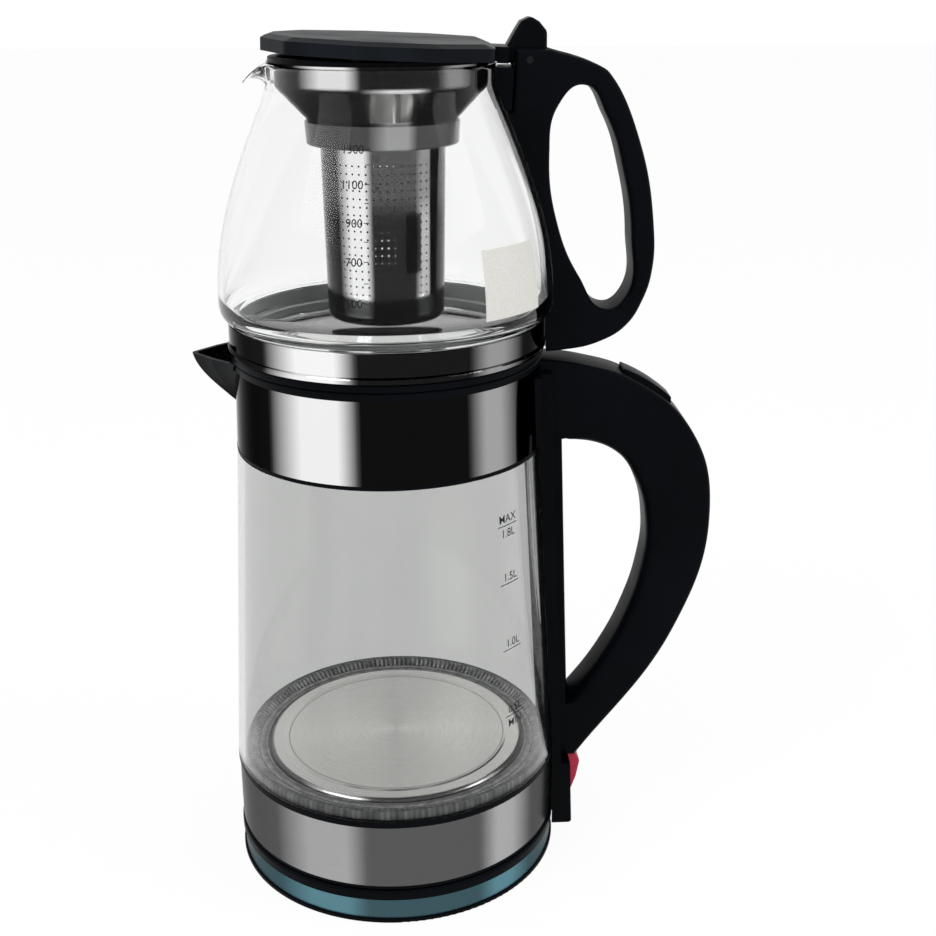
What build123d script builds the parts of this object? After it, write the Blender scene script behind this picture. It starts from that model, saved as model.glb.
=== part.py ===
from build123d import *
import math
import os

# Two-stage tea maker: a glass electric kettle on a round power base, with a glass teapot
# and its infuser standing in the kettle's mouth.
# Millimetres. +Z is up and is the kettle's axis, the origin is the middle of the base's
# underside, the spouts point to -X and both handles stand out towards +X.

# ---- Fits shared by every piece
move_gap = 0.3            # between pieces that come apart or slide past each other
seat_gap = 0.1            # between pieces that are fixed together
shaft_gap = 0.05          # radial, a pin in the bore that turns on it

# ---- Power base
base_r = 76.2
base_cover_h = 2.1
trim_h = 10.3             # coloured metal band
trim_inset = 0.9
trim_t = 0.8
base_lip_h = 4.4          # black lip of the top shell above the band
base_lip_round = 1.4
base_plate_t = 2.4
base_sleeve_t = 1.8
pad_count = 4
pad_r = 8.0
pad_t = 1.3
base_fix_inset = 18.2
base_fix_ring_r = base_r - base_fix_inset    # circle of the pads and, between them, of the screws
base_boss_r = 4.0
inlet_w = 11.0
inlet_h = 8.0
inlet_depth = 8.0
inlet_stand_out = move_gap    # the kettle's spine passes it as the kettle turns
inlet_bore_r = 3.2

# ---- Centre connector, base half and kettle half
connector_flange_r = 27.0
connector_flange_t = 2.0
connector_collar_r = 20.0
connector_collar_h = 2.0
post_r = 12.5
post_h = 12.2             # above the base's top plate
slot_out_r = 9.8
slot_in_r = 5.2
slot_depth = 13.4
earth_bore_r = 2.4
contact_t = 0.45
contact_h = 6.0
socket_wall = 2.2
socket_clear = 1.8        # from the post to the cup round it
socket_top_t = 2.0
socket_spigot_r = 10.0
socket_spigot_h = 3.6
socket_head_r = 11.6
socket_head_h = 2.8
control_r = 26.0
control_h = 10.7
control_neck_r = 18.0

# ---- Screws
screw_r = 1.5
screw_head_r = 2.8
screw_head_h = 1.6

# ---- Kettle body
kettle_foot_r = base_r     # the kettle stands flush on its base
cover_rim_inset = 1.0
cover_rim_r = kettle_foot_r - cover_rim_inset
cover_t = 2.3
cover_relief = 0.6        # the middle of the cover stands this much higher
cover_opening_r = 24.5
cover_boss_t = 3.0
cover_upstand_h = 10.0
cover_upstand_t = 2.0
steel_band_inset = 0.5
steel_band_r = kettle_foot_r - steel_band_inset
steel_band_h = 30.3
steel_band_t = 0.8
glass_ring_h = 3.0
glass_ring_skirt_h = 5.8
glass_bottom_r = kettle_foot_r
glass_taper = 8.4
glass_top_r = glass_bottom_r - glass_taper
glass_h = 152.0
glass_t = 3.0
seal_h = 1.7
mirror_band_h = 35.7
mirror_band_taper = 1.1
mirror_band_top_r = glass_top_r - mirror_band_taper
mirror_band_t = 0.6
collar_t = 2.2
rim_h = 7.1
rim_flare = 1.7           # how far the rim's top stands outside the band
rim_step = 0.6            # groove between the rim's two ridges
rim_skirt_h = 6.0
mouth_step = 6.5
mouth_r = mirror_band_top_r - mouth_step

# ---- Kettle floor
plate_margin = 11.9       # from the glass's bore to the plate's edge
plate_r = glass_bottom_r - glass_t - plate_margin
plate_rise = 2.7          # top of the heating plate above the glass's lower edge
plate_t = 1.0
plate_round = 2.0
plate_flange_w = 4.7
plate_flange_r = plate_r + plate_flange_w
plate_flange_drop = 4.2
plate_groove_inset = 7.8
plate_groove_half_w = 0.9
plate_groove_depth = 0.35
spreader_inset = 9.3
spreader_r = plate_r - spreader_inset
spreader_t = 2.0
element_inset = 12.0
element_ring_r = spreader_r - element_inset
element_r = 3.5
element_arc = 320.0
element_pin_r = 1.5
element_pin_h = 6.0
light_ring_h = 1.7
light_rib_h = 2.4
light_rib_t = 3.2
post_inset = 7.4
post_ring_r = glass_bottom_r - post_inset
post_boss_r = 3.2
post_count = 3
led_ring_w = 3.0
led_ring_t = 1.6
bottom_screw_l = 14.0     # in the posts, above the bottom cover

# ---- Kettle spout
spout_stand_out = 19.3    # tip from the polished band
spout_reach = mirror_band_top_r + spout_stand_out
spout_half_w = 23.0
spout_wall = 2.2
spout_top_drop = 3.1      # its edge below the rim's top
spout_h = 22.6
spout_nose_r = 2.6
spout_hole_h = 15.0
spout_hole_half_w = 13.0

# ---- Kettle handle and spine
spine_half_w = 18.0
spine_bottom_z = 10.0
spine_low_t = 8.15        # from the glass to the strip's back, at the spine's lower end
spine_high_t = 8.7        # from the polished band to the strip's back, at the rim
spine_top_drop = 4.0      # below the mirror band's upper edge
spine_flare_half_w = 24.0
spine_flare_depth = 0.7
spine_flare_x = mirror_band_top_r - spine_flare_depth
strip_t = 4.3             # back strip of the handle moulding, behind the spine
handle_half_w = 12.0
handle_stand_out = 69.6   # from the kettle's foot to the grip's back
handle_reach = kettle_foot_r + handle_stand_out
handle_top_drop = 6.3     # below the rim's top
handle_foot_drop = 6.2    # below the glass's black ring
handle_grip_t = 30.3
handle_cover_t = 5.6
handle_bevel = 5.0
handle_wall = 2.6
handle_seam = 0.15
button_set_back = 30.8    # its middle before the grip's back
button_x = handle_reach - button_set_back
button_l = 22.0
button_half_w = 6.0
button_raise = 2.2
button_skirt = 5.0
button_travel = 2.5
spring_r = 2.6
spring_wire_r = 0.35
spring_turns = 5
spring_drop = 33.0        # its seat below the handle's top
stem_drop = 22.0          # lower end of the button's stem
stem_l = 8.0
tube_r = 1.7
tube_bore_r = 1.0
tube_y = 8.0
lever_pivot_drop = 10.6   # below the handle moulding's foot
lever_half_w = 6.0
lever_stand_out = 5.9
lever_top_drop = 1.0
lever_bottom_drop = 22.0
lever_hub_r = 2.8
lever_pin_r = 1.2
switch_h = 16.0

# ---- Teapot
teapot_flange_overhang = 2.5
teapot_flange_r = mirror_band_top_r + teapot_flange_overhang
teapot_flange_h = 1.6
teapot_ring_inset = 0.6
teapot_ring_r = teapot_flange_r - teapot_ring_inset
teapot_ring_h = 12.6      # from the flange's underside to the lip
teapot_ring_t = 1.0
teapot_spigot_h = 6.0
teapot_spigot_clear = 0.6
gasket_t = 0.7
gasket_floor_t = 2.6
teapot_glass_t = 2.2
teapot_foot_clear = 0.2    # the glass swells just above the ring's lip
teapot_swell = 3.5         # of the belly over the steel ring
teapot_belly_r = teapot_ring_r + teapot_swell
teapot_belly_h = 17.0     # above the glass's underside
teapot_narrowing = 24.5
teapot_neck_r = teapot_belly_r - teapot_narrowing
teapot_h = 114.0
teapot_collar_h = 10.0     # upright part of the neck
teapot_neck_h = teapot_h - teapot_collar_h
teapot_lip_reach = 8.2
teapot_lip_half_w = 15.0
teapot_lip_h = 8.4        # where it leaves the neck, below the rim
teapot_lip_nose_r = 6.2   # its rounded nose
teapot_lip_t = 1.8
teapot_lip_slot_half_w = 1.6

# ---- Teapot handle
teapot_handle_half_w = 11.0
teapot_handle_stand_out = 42.8    # from the belly to the grip's back
teapot_handle_reach = teapot_belly_r + teapot_handle_stand_out
teapot_handle_top_rise = 5.3      # above the glass rim
teapot_handle_foot_drop = 3.0     # below the steel ring's flange
teapot_handle_front_gap = 6.8     # its upper front from the neck
teapot_handle_front_x = teapot_neck_r + teapot_handle_front_gap
teapot_grip_t = 10.2
teapot_handle_gap = 0.4   # from the glass
teapot_handle_bevel = 2.4
teapot_handle_corner_r = 5.0
saddle_low_drop = 18.8    # below the glass rim
saddle_top_drop = 1.7
bracket_half_w = 6.0
bracket_t = 1.5
bracket_l = 9.0

# ---- Lid, hinge and thumb lever
hinge_set_back = 12.8     # from the neck
hinge_x = teapot_neck_r + hinge_set_back
hinge_rise = 1.3          # above the glass rim
lid_skirt_h = 5.0
lid_crown_h = 1.5
lid_crown_inset = 4.0
lid_wall = 1.4
lid_top_t = 2.4
lid_left_overhang = 0.7
lid_right_inset = 2.1
lid_side_overhang = 2.4
lid_left_x = teapot_neck_r + lid_left_overhang
lid_right_x = teapot_neck_r - lid_right_inset
lid_half_w = teapot_neck_r + lid_side_overhang
lid_rest_angle = 2.4      # degrees that the lid stands open at rest
lid_clear = 1.2           # closed skirt above the glass rim
hinge_pin_r = 1.5
thumb_half_w = 6.5
thumb_h = 16.6            # top of the thumb piece above the pin
thumb_front = 9.5         # its front before the pin
thumb_back = 7.2          # its back behind the pin
thumb_heel_drop = 2.7
thumb_bevel = 1.2
thumb_slot_depth = 8.2    # below the pin
thumb_room_l = 18.6       # behind the pin, for the lid's full swing
arm_half_w = 12.5
arm_reach = 8.9           # wide part of the arm, in front of the pin
arm_drop = 1.7            # its underside below the pin
tongue_half_w = 8.0
tongue_l = 4.5
liner_inset = 8.1
liner_r = teapot_neck_r - liner_inset
liner_t = 1.0
lid_corner_r = 6.0
lid_screw_r = 1.0
ring_room_gap = 0.8       # round the infuser's black ring, in the lid and its lever

# ---- Infuser
funnel_t = 0.8
funnel_clear = 3.6
funnel_flange_clear = 0.6
funnel_r = teapot_neck_r - funnel_clear
funnel_flange_r = teapot_neck_r - funnel_flange_clear
funnel_cyl_h = 7.8
funnel_cone_h = 14.4
funnel_narrowing = 11.6
collar_out_r = funnel_r - funnel_narrowing
collar_h = 9.5
collar_w = 6.0
tube_taper = 1.3
infuser_floor_gap = 8.5    # the tube's length is short of the glass's height by this
tube_top_r = collar_out_r - collar_w
tube_bottom_r = tube_top_r - tube_taper
infuser_h = teapot_h - infuser_floor_gap
infuser_t = 0.6
infuser_round = 2.4
funnel_ring_clear = 1.3
funnel_ring_r = teapot_neck_r - funnel_ring_clear
funnel_ring_h = 1.9
funnel_ring_w = 3.6

# ---- Levels worked out from the sizes above
trim_z = base_cover_h
base_lip_z = trim_z + trim_h
base_top_z = base_lip_z + base_lip_h
cover_z = base_top_z + move_gap + 0.1
steel_band_z = cover_z + cover_t
glass_ring_z = steel_band_z + steel_band_h
glass_z = glass_ring_z + glass_ring_h
seal_z = glass_z + glass_h
mirror_z = seal_z + seal_h
rim_z = mirror_z + mirror_band_h
rim_top_z = rim_z + rim_h
flange_z = rim_top_z + move_gap
teapot_z = flange_z + teapot_ring_t + gasket_floor_t + seat_gap
glass_rim_z = teapot_z + teapot_h
funnel_z = glass_rim_z + move_gap
hinge_z = glass_rim_z + hinge_rise
handle_top_z = rim_top_z - handle_top_drop
handle_foot_z = glass_ring_z - handle_foot_drop
handle_rise = handle_top_z - handle_foot_z
handle_belly_z = handle_foot_z + 0.634 * handle_rise
handle_hole_top_z = handle_foot_z + 0.802 * handle_rise
handle_hole_bottom_z = handle_foot_z + 0.1575 * handle_rise
lever_pivot_z = handle_foot_z - lever_pivot_drop
lever_top_z = handle_foot_z - lever_top_drop
lever_bottom_z = handle_foot_z - lever_bottom_drop
teapot_handle_top_z = glass_rim_z + teapot_handle_top_rise
teapot_handle_low_z = flange_z - teapot_handle_foot_drop
saddle_bottom_z = glass_rim_z - saddle_low_drop
saddle_top_z = glass_rim_z - saddle_top_drop


def outline(points, rounds=()):
    """Flat face through the points, with (point number, radius) corners rounded."""
    face = make_face(Polyline(*points, close=True))
    for number, radius in rounds:
        x, y = points[number]
        face = fillet(face.vertices().sort_by_distance((x, y, 0))[0], radius)
    return face


def turned(points, rounds=()):
    """Solid of revolution about Z from a (radius, height) outline."""
    return revolve(Plane.XZ * outline(points, rounds), Axis.Z)


def tube(r_out, r_in, z_low, z_high):
    """Plain ring about Z."""
    return turned([(r_in, z_low), (r_out, z_low), (r_out, z_high), (r_in, z_high)])


def rod(radius, z_low, z_high, x=0.0, y=0.0):
    """Round bar parallel to Z."""
    standing = (Align.CENTER, Align.CENTER, Align.MIN)
    return Pos(x, y, z_low) * Cylinder(radius, z_high - z_low, align=standing)


def cross_rod(radius, half_length, x, z):
    """Round bar parallel to Y."""
    return Pos(x, 0, z) * Rot(90, 0, 0) * Cylinder(radius, 2 * half_length)


def block(x_low, x_high, half_w, z_low, z_high):
    """Box that is symmetric about the plane Y = 0."""
    size = Box(x_high - x_low, 2 * half_w, z_high - z_low, align=(Align.MIN, Align.CENTER, Align.MIN))
    return Pos(x_low, 0, z_low) * size


def slab(face, half_w):
    """A face drawn in X and Z, thickened evenly to both sides of Y = 0."""
    return extrude(Plane.XZ * face, half_w, both=True)


def around(count, radius, first_angle=0.0):
    """Places evenly spaced on a circle, as (x, y)."""
    angles = [math.radians(first_angle + 360.0 * step / count) for step in range(count)]
    return [(radius * math.cos(a), radius * math.sin(a)) for a in angles]


def shifted(points, distance):
    """The points moved by distance to the right of the way that they run."""
    moved = []
    for number, (x, z) in enumerate(points):
        back = points[max(number - 1, 0)]
        ahead = points[min(number + 1, len(points) - 1)]
        run = Vector(ahead[0] - back[0], ahead[1] - back[1]).normalized()
        moved.append((x + run.Y * distance, z - run.X * distance))
    return moved


def together(shapes):
    """One compound of separate solids."""
    return Compound(children=[solid for shape in shapes for solid in shape.solids()])


def save(node, shape):
    export_step(shape, f"parts/{node}.step")


os.makedirs("parts", exist_ok=True)

# ================================================================ Power base
pad_places = around(pad_count, base_fix_ring_r)
base_screw_places = around(pad_count, base_fix_ring_r, 180.0 / pad_count)
trim_r = base_r - trim_inset
sleeve_r = trim_r - trim_t - seat_gap
plate_z = base_top_z - base_plate_t

# The underside cover: a disc with pockets for the pads and the screw heads.
cover = turned([(0, 0), (base_r, 0), (base_r, base_cover_h), (0, base_cover_h)], [(1, 0.6), (2, 0.4)])
for x, y in pad_places:
    cover -= rod(pad_r + seat_gap, 0, pad_t, x, y)
for x, y in base_screw_places:
    cover -= rod(screw_head_r + seat_gap, 0, screw_head_h, x, y)
    cover -= rod(screw_r + seat_gap, 0, base_cover_h, x, y)
save("base_bottom_cover", cover)

# Rubber pads lie flush in their pockets.
save("base_pads", together([rod(pad_r, 0, pad_t, x, y) for x, y in pad_places]))

# Screws pass the cover and bite in the top shell's bosses.
base_screws = []
for x, y in base_screw_places:
    head = rod(screw_head_r, 0.2, screw_head_h, x, y)
    base_screws.append(head + rod(screw_r, 0.2, plate_z - 2.0, x, y))
save("base_screws", together(base_screws))

# The cord's inlet stands in a notch at the back of the band and the sleeve.
inlet_y = base_r + inlet_stand_out
inlet = Pos(0, inlet_y, base_cover_h + seat_gap) * Box(
    inlet_w, inlet_depth, inlet_h, align=(Align.CENTER, Align.MAX, Align.MIN))
inlet = fillet(inlet.edges().filter_by(Axis.Y).group_by(Axis.Z)[-1], 2.0)
inlet_z = base_cover_h + seat_gap + inlet_h / 2
inlet -= Pos(0, inlet_y, inlet_z) * Rot(90, 0, 0) * Cylinder(inlet_bore_r, 4 * inlet_depth)
notch = Pos(0, inlet_y, base_cover_h) * Box(
    inlet_w + 2 * seat_gap, inlet_depth + inlet_stand_out + seat_gap, inlet_h + 2 * seat_gap,
    align=(Align.CENTER, Align.MAX, Align.MIN))
save("cord_inlet", inlet)

# The coloured metal band lies between the cover and the top shell's lip.
save("base_trim_band", tube(trim_r, trim_r - trim_t, trim_z, base_lip_z) - notch)

# The top shell: lip, plate, sleeve and screw bosses.
shell = turned(
    [(connector_collar_r + seat_gap, plate_z), (sleeve_r - base_sleeve_t, plate_z),
     (sleeve_r - base_sleeve_t, trim_z), (sleeve_r, trim_z), (sleeve_r, base_lip_z),
     (base_r, base_lip_z), (base_r, base_top_z), (connector_collar_r + seat_gap, base_top_z)],
    [(6, base_lip_round)])
shell -= notch
for x, y in base_screw_places:
    shell += rod(base_boss_r, base_cover_h, plate_z, x, y)
    shell -= rod(screw_r + seat_gap / 2, 0, plate_z - 1.8, x, y)
save("base_upper_shell", shell)

# The round connector: flange under the plate, collar, and a post with a ring slot.
post_top_z = base_top_z + post_h
slot_floor_z = post_top_z - slot_depth
connector = turned(
    [(0, plate_z - connector_flange_t), (connector_flange_r, plate_z - connector_flange_t),
     (connector_flange_r, plate_z), (connector_collar_r, plate_z),
     (connector_collar_r, base_top_z + connector_collar_h),
     (post_r, base_top_z + connector_collar_h), (post_r, post_top_z), (0, post_top_z)],
    [(4, 0.8), (6, 1.2)])
connector -= tube(slot_out_r, slot_in_r, slot_floor_z, post_top_z)
connector -= rod(earth_bore_r, slot_floor_z, post_top_z)
save("base_connector", connector)

# Contact sleeves on both walls of the slot and in the earth bore.
contact_z = slot_floor_z + 1.0
save("base_contacts", together([
    tube(slot_out_r, slot_out_r - contact_t, contact_z, contact_z + contact_h),
    tube(slot_in_r + contact_t, slot_in_r, contact_z, contact_z + contact_h),
    tube(earth_bore_r, earth_bore_r - contact_t, contact_z, contact_z + contact_h)]))

# ================================================================ Kettle connector
# The round socket under the kettle: a cup over the post and a ring that dips in its slot.
socket_in_r = post_r + socket_clear
socket_r = socket_in_r + socket_wall
socket_floor_z = post_top_z + 2.0
socket_top_z = socket_floor_z + socket_top_t
dip_out_r = slot_out_r - contact_t - move_gap - contact_t
dip_in_r = slot_in_r + contact_t + move_gap + contact_t
dip_z = slot_floor_z + 2.4
socket = tube(socket_r, socket_in_r, base_top_z + connector_collar_h + 0.8, socket_floor_z)
socket += tube(dip_out_r, dip_in_r, dip_z, socket_floor_z)
socket += rod(socket_r, socket_floor_z, socket_top_z)
spigot_top_z = socket_top_z + socket_spigot_h
socket += rod(socket_spigot_r, socket_top_z, spigot_top_z)
socket += rod(socket_head_r, spigot_top_z, spigot_top_z + socket_head_h)
save("kettle_socket", socket)

save("socket_contacts", together([
    tube(dip_out_r + contact_t, dip_out_r, dip_z + 0.4, dip_z + 0.4 + contact_h),
    tube(dip_in_r, dip_in_r - contact_t, dip_z + 0.4, dip_z + 0.4 + contact_h),
    rod(earth_bore_r - contact_t - move_gap, dip_z, socket_floor_z)]))

# ================================================================ Kettle body, from below
post_places = around(post_count, post_ring_r, 60.0)
control_z = socket_top_z + move_gap
upstand_r = steel_band_r - steel_band_t - seat_gap
steel_in_r = steel_band_r - steel_band_t

# Bottom cover: visible rim, plate with a raised middle, upstand and a boss for the control.
bottom = turned(
    [(cover_opening_r, cover_z + cover_relief), (base_fix_ring_r, cover_z + cover_relief),
     (base_fix_ring_r + 2, cover_z), (cover_rim_r, cover_z), (cover_rim_r, steel_band_z),
     (upstand_r, steel_band_z), (upstand_r, steel_band_z + cover_upstand_h),
     (upstand_r - cover_upstand_t, steel_band_z + cover_upstand_h),
     (upstand_r - cover_upstand_t, steel_band_z), (cover_opening_r + cover_boss_t, steel_band_z),
     (cover_opening_r + cover_boss_t, control_z), (cover_opening_r, control_z)],
    [(3, 0.6)])
for x, y in post_places:
    bottom -= rod(screw_head_r + seat_gap, cover_z, cover_z + screw_head_h, x, y)
    bottom -= rod(screw_r + seat_gap, cover_z, steel_band_z, x, y)
    bottom -= rod(post_boss_r + seat_gap, steel_band_z, steel_band_z + cover_upstand_h, x, y)
radial_screw_z = steel_band_z + cover_upstand_h / 2
radial_bore = Pos(upstand_r, 0, radial_screw_z) * Rot(0, 90, 0) * Cylinder(screw_r + seat_gap, 12)
save("kettle_bottom_cover", bottom - radial_bore)

# Brushed steel band round the kettle's foot.
save("steel_base_band", tube(steel_band_r, steel_in_r, steel_band_z, glass_ring_z) - radial_bore)

# Black ring that carries the glass, with a skirt in the band, a ledge for the heating
# plate and three posts down to the bottom cover.
ledge_z = glass_z - 1.6
ledge_low_z = ledge_z - 2.0
carrier = turned(
    [(plate_r + 0.7, ledge_low_z), (upstand_r - 2.2, ledge_low_z),
     (upstand_r - 2.2, glass_ring_z - glass_ring_skirt_h),
     (upstand_r, glass_ring_z - glass_ring_skirt_h), (upstand_r, glass_ring_z),
     (glass_bottom_r, glass_ring_z), (glass_bottom_r, glass_z),
     (plate_flange_r + 0.2, glass_z), (plate_flange_r + 0.2, ledge_z), (plate_r + 0.7, ledge_z)],
    [(5, 0.5), (6, 0.3)])
for x, y in post_places:
    carrier += rod(post_boss_r, steel_band_z, ledge_low_z, x, y)
    carrier -= rod(screw_r + seat_gap / 2, steel_band_z, ledge_low_z - 6, x, y)
save("glass_carrier_ring", carrier)

bottom_screws = []
for x, y in post_places:
    head = rod(screw_head_r, cover_z + 0.2, cover_z + screw_head_h, x, y)
    bottom_screws.append(head + rod(screw_r, cover_z + 0.2, steel_band_z + bottom_screw_l, x, y))
save("kettle_bottom_screws", together(bottom_screws))

# Thermostat housing: it holds the socket's head in a pocket and reaches the spreader.
plate_top_z = glass_z + plate_rise
spreader_z = plate_top_z - plate_t - spreader_t
pocket_z = spigot_top_z - move_gap
control = turned(
    [(0, control_z), (control_r, control_z), (control_r, control_z + control_h),
     (control_neck_r, control_z + control_h), (control_neck_r, spreader_z - seat_gap),
     (0, spreader_z - seat_gap)],
    [(2, 1.5)])
control -= rod(socket_spigot_r + shaft_gap, control_z, pocket_z)
control -= rod(socket_head_r + 2 * move_gap, pocket_z, spigot_top_z + socket_head_h + 2 * move_gap)
save("control_housing", control)

# Heating plate: a shallow steel dish turned upside down, with a flange on the ledge.
flange_top_z = plate_top_z - plate_flange_drop + plate_t
under_z = plate_top_z - plate_t
plate = turned(
    [(0, under_z), (plate_r - plate_t, under_z), (plate_r - plate_t, flange_top_z - plate_t),
     (plate_flange_r, flange_top_z - plate_t), (plate_flange_r, flange_top_z),
     (plate_r, flange_top_z), (plate_r, plate_top_z), (0, plate_top_z)],
    [(1, plate_round - plate_t), (6, plate_round)])
groove_r = plate_r - plate_groove_inset
plate -= turned([
    (groove_r - plate_groove_half_w, plate_top_z), (groove_r, plate_top_z - plate_groove_depth),
    (groove_r + plate_groove_half_w, plate_top_z)])
save("heating_plate", plate)

save("heat_spreader", turned(
    [(0, spreader_z), (spreader_r, spreader_z), (spreader_r, under_z), (0, under_z)], [(1, 0.8)]))

# Tubular element under the spreader, with a pin at each end.
element_z = spreader_z - element_r
element_face = Plane.XZ * (Pos(element_ring_r, element_z) * Circle(element_r))
element = Rot(0, 0, (360 - element_arc) / 2) * revolve(element_face, Axis.Z, element_arc)
for sign in (-1, 1):
    angle = math.radians(sign * ((360 - element_arc) / 2 + 3))
    x, y = element_ring_r * math.cos(angle), element_ring_r * math.sin(angle)
    element += rod(element_pin_r, element_z - element_r - element_pin_h, element_z, x, y)
save("heating_element", element)

# Clear ring round the plate, with a raised rib against the glass.
glass_in_r = glass_bottom_r - glass_t
light_r = glass_in_r - 0.3
light_top_z = glass_z + light_ring_h
light_ring = turned(
    [(plate_r + 0.7, glass_z + 0.05), (light_r, glass_z + 0.05), (light_r, light_top_z + light_rib_h),
     (light_r - light_rib_t, light_top_z + light_rib_h), (light_r - light_rib_t, light_top_z),
     (plate_r + 0.7, light_top_z)],
    [(2, 0.6), (3, 0.6), (5, 0.5)])
save("light_ring", light_ring)

# Lamp board: a narrow ring under the ledge.
save("led_board", tube(plate_r + 0.9 + led_ring_w, plate_r + 0.9, ledge_low_z - led_ring_t, ledge_low_z))

# Tapered glass wall.
glass = turned(
    [(glass_bottom_r, glass_z), (glass_top_r, seal_z),
     (glass_top_r - glass_t, seal_z), (glass_in_r, glass_z)],
    [(0, 0.5), (1, 0.5)])
save("kettle_glass", glass)

save("glass_top_seal", tube(glass_top_r + 0.1, glass_top_r - glass_t - 0.1, seal_z, mirror_z))

# Polished band, the black collar inside it and the rim on top; all three leave a hole for
# the water behind the spout.
mirror_in_top_r = mirror_band_top_r - mirror_band_t
mirror_in_low_r = glass_top_r - mirror_band_t
spout_hole_z = rim_z - 1.5
spout_hole = extrude(
    Plane.YZ * outline([(-spout_hole_half_w, spout_hole_z), (spout_hole_half_w, spout_hole_z),
                        (0, spout_hole_z - spout_hole_h)], [(0, 1.5), (1, 1.5), (2, 1.5)]),
    -2 * mirror_band_top_r)
screw_zs = (mirror_z + 9, mirror_z + mirror_band_h - 12)
lying = Rot(0, 90, 0)
collar_bores = [Pos(mirror_band_top_r, 0, z) * lying * Cylinder(screw_r + seat_gap, 24) for z in screw_zs]
port_z = rim_z - 6.5
port = Pos(mirror_band_top_r, tube_y, port_z) * Rot(0, 90, 0) * Cylinder(tube_r + seat_gap, 16)

mirror = turned([(mirror_in_low_r, mirror_z), (glass_top_r, mirror_z), (mirror_band_top_r, rim_z),
                 (mirror_in_top_r, rim_z)])
collar = turned([(mirror_in_low_r - seat_gap - collar_t, mirror_z), (mirror_in_low_r - seat_gap, mirror_z),
                 (mirror_in_top_r - seat_gap, rim_z), (mirror_in_top_r - seat_gap - collar_t, rim_z)])
for cut in [spout_hole, port] + collar_bores:
    mirror -= cut
    collar -= cut
save("mirror_band", mirror)
save("upper_collar", collar)

# Rim: two outer ridges, a flat top for the teapot's flange, a skirt inside the collar.
rim_low_r = mirror_band_top_r + rim_step
rim_top_r = mirror_band_top_r + rim_flare
skirt_r = mirror_in_top_r - 2 * seat_gap - collar_t
rim = turned(
    [(mouth_r, rim_top_z), (mouth_r, rim_z - rim_skirt_h), (skirt_r, rim_z - rim_skirt_h), (skirt_r, rim_z),
     (rim_low_r, rim_z), (rim_low_r + 0.5, rim_z + 0.42 * rim_h), (rim_low_r - 0.1, rim_z + 0.50 * rim_h),
     (rim_top_r - 0.2, rim_z + 0.60 * rim_h), (rim_top_r, rim_top_z)],
    [(0, 0.8), (4, 0.3), (5, 0.6), (7, 0.5), (8, 0.7)])
save("kettle_rim", rim - spout_hole - port)

# ================================================================ Kettle spout
spout_top_z = rim_top_z - spout_top_drop
spout_levels = (0.0, 0.34, 0.68, 1.0)


def spout_section(share, wall):
    """Pointed section at a share of the spout's height, drawn in by a wall."""
    drop = (1.0 - share) ** 1.6
    root_x = -(mirror_band_top_r - 8.7)
    nose_x = -(spout_reach - wall) + drop * (spout_reach - mirror_band_top_r - 2.0)
    half_w = max(1.24 * spout_half_w * share, 2.0) - 1.2 * wall * share
    shoulder_x = nose_x + 0.36 * (root_x - nose_x)
    points = [(root_x, half_w), (shoulder_x, 0.42 * half_w), (nose_x, 0.0), (shoulder_x, -0.42 * half_w),
              (root_x, -half_w)]
    nose = min(spout_nose_r, 0.2 * half_w)
    level = spout_top_z - spout_h * (1.0 - share) + (wall if share < 0.5 else 0.0)
    return Pos(0, 0, level) * outline(points, [(2, nose)])


def envelope(gap):
    """The kettle's outside from the base to the rim, grown by a gap, for pieces that lie on it."""
    low = glass_bottom_r + gap
    return turned([(0, spine_bottom_z - 2), (low, spine_bottom_z - 2), (low, glass_z),
                   (glass_top_r + gap, seal_z), (glass_top_r + 0.1 + gap, mirror_z),
                   (mirror_band_top_r + gap, rim_z), (0, rim_z)])


spout = loft([spout_section(share, 0.0) for share in spout_levels])
spout -= loft([spout_section(share, spout_wall) for share in spout_levels])
spout -= envelope(seat_gap)
spout -= rod(rim_top_r + seat_gap, rim_z, rim_top_z)
save("kettle_spout", spout.solids().sort_by(SortBy.VOLUME)[-1])

# ================================================================ Kettle handle


def back_x(z):
    """Back of the handle's strip, which leans with the glass."""
    low_x = glass_bottom_r + spine_low_t
    high_x = mirror_band_top_r + spine_high_t
    return low_x + (high_x - low_x) * (z - spine_bottom_z) / (rim_z - spine_bottom_z)


def split_x(z):
    """Where the spine ends and the handle moulding's strip begins."""
    return back_x(z) - strip_t


spine_top_z = rim_z - spine_top_drop
handle_root_z = handle_foot_z - 0.4

# Points of the outer and the inner contour, from the top round to the foot. Each is set by
# shares of the grip's depth before its back, and of the handle's rise above its foot.
inner_shares = [(1.502, 0.764), (1.185, 0.706), (1.0, 0.591), (1.053, 0.4885), (1.238, 0.386),
                (1.548, 0.2815)]


def contour(shares):
    """Points of the handle's side view from their shares."""
    return [(handle_reach - across * handle_grip_t, handle_foot_z + up * handle_rise)
            for across, up in shares]


button_crown_x = button_x - 7.0
button_crown_z = handle_top_z - 10.4
outer_points = [(glass_top_r - 3.5, handle_top_z), (button_crown_x, button_crown_z)]
outer_points += contour([(0.356, 0.8295)])
outer_points += [(handle_reach, handle_belly_z)]
outer_points += contour([(0.462, 0.338)])
outer_points += [(back_x(handle_foot_z) + 3.0, handle_foot_z)]
grip_in_x = handle_reach - handle_grip_t
inner_points = [(back_x(handle_hole_top_z), handle_hole_top_z)]
inner_points += contour(inner_shares)
inner_points += [(back_x(handle_hole_bottom_z), handle_hole_bottom_z)]
outer_ends = [(1, -0.12), (-0.62, -0.78)]
inner_ends = [(1, -0.02), (-0.56, -0.83)]


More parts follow.
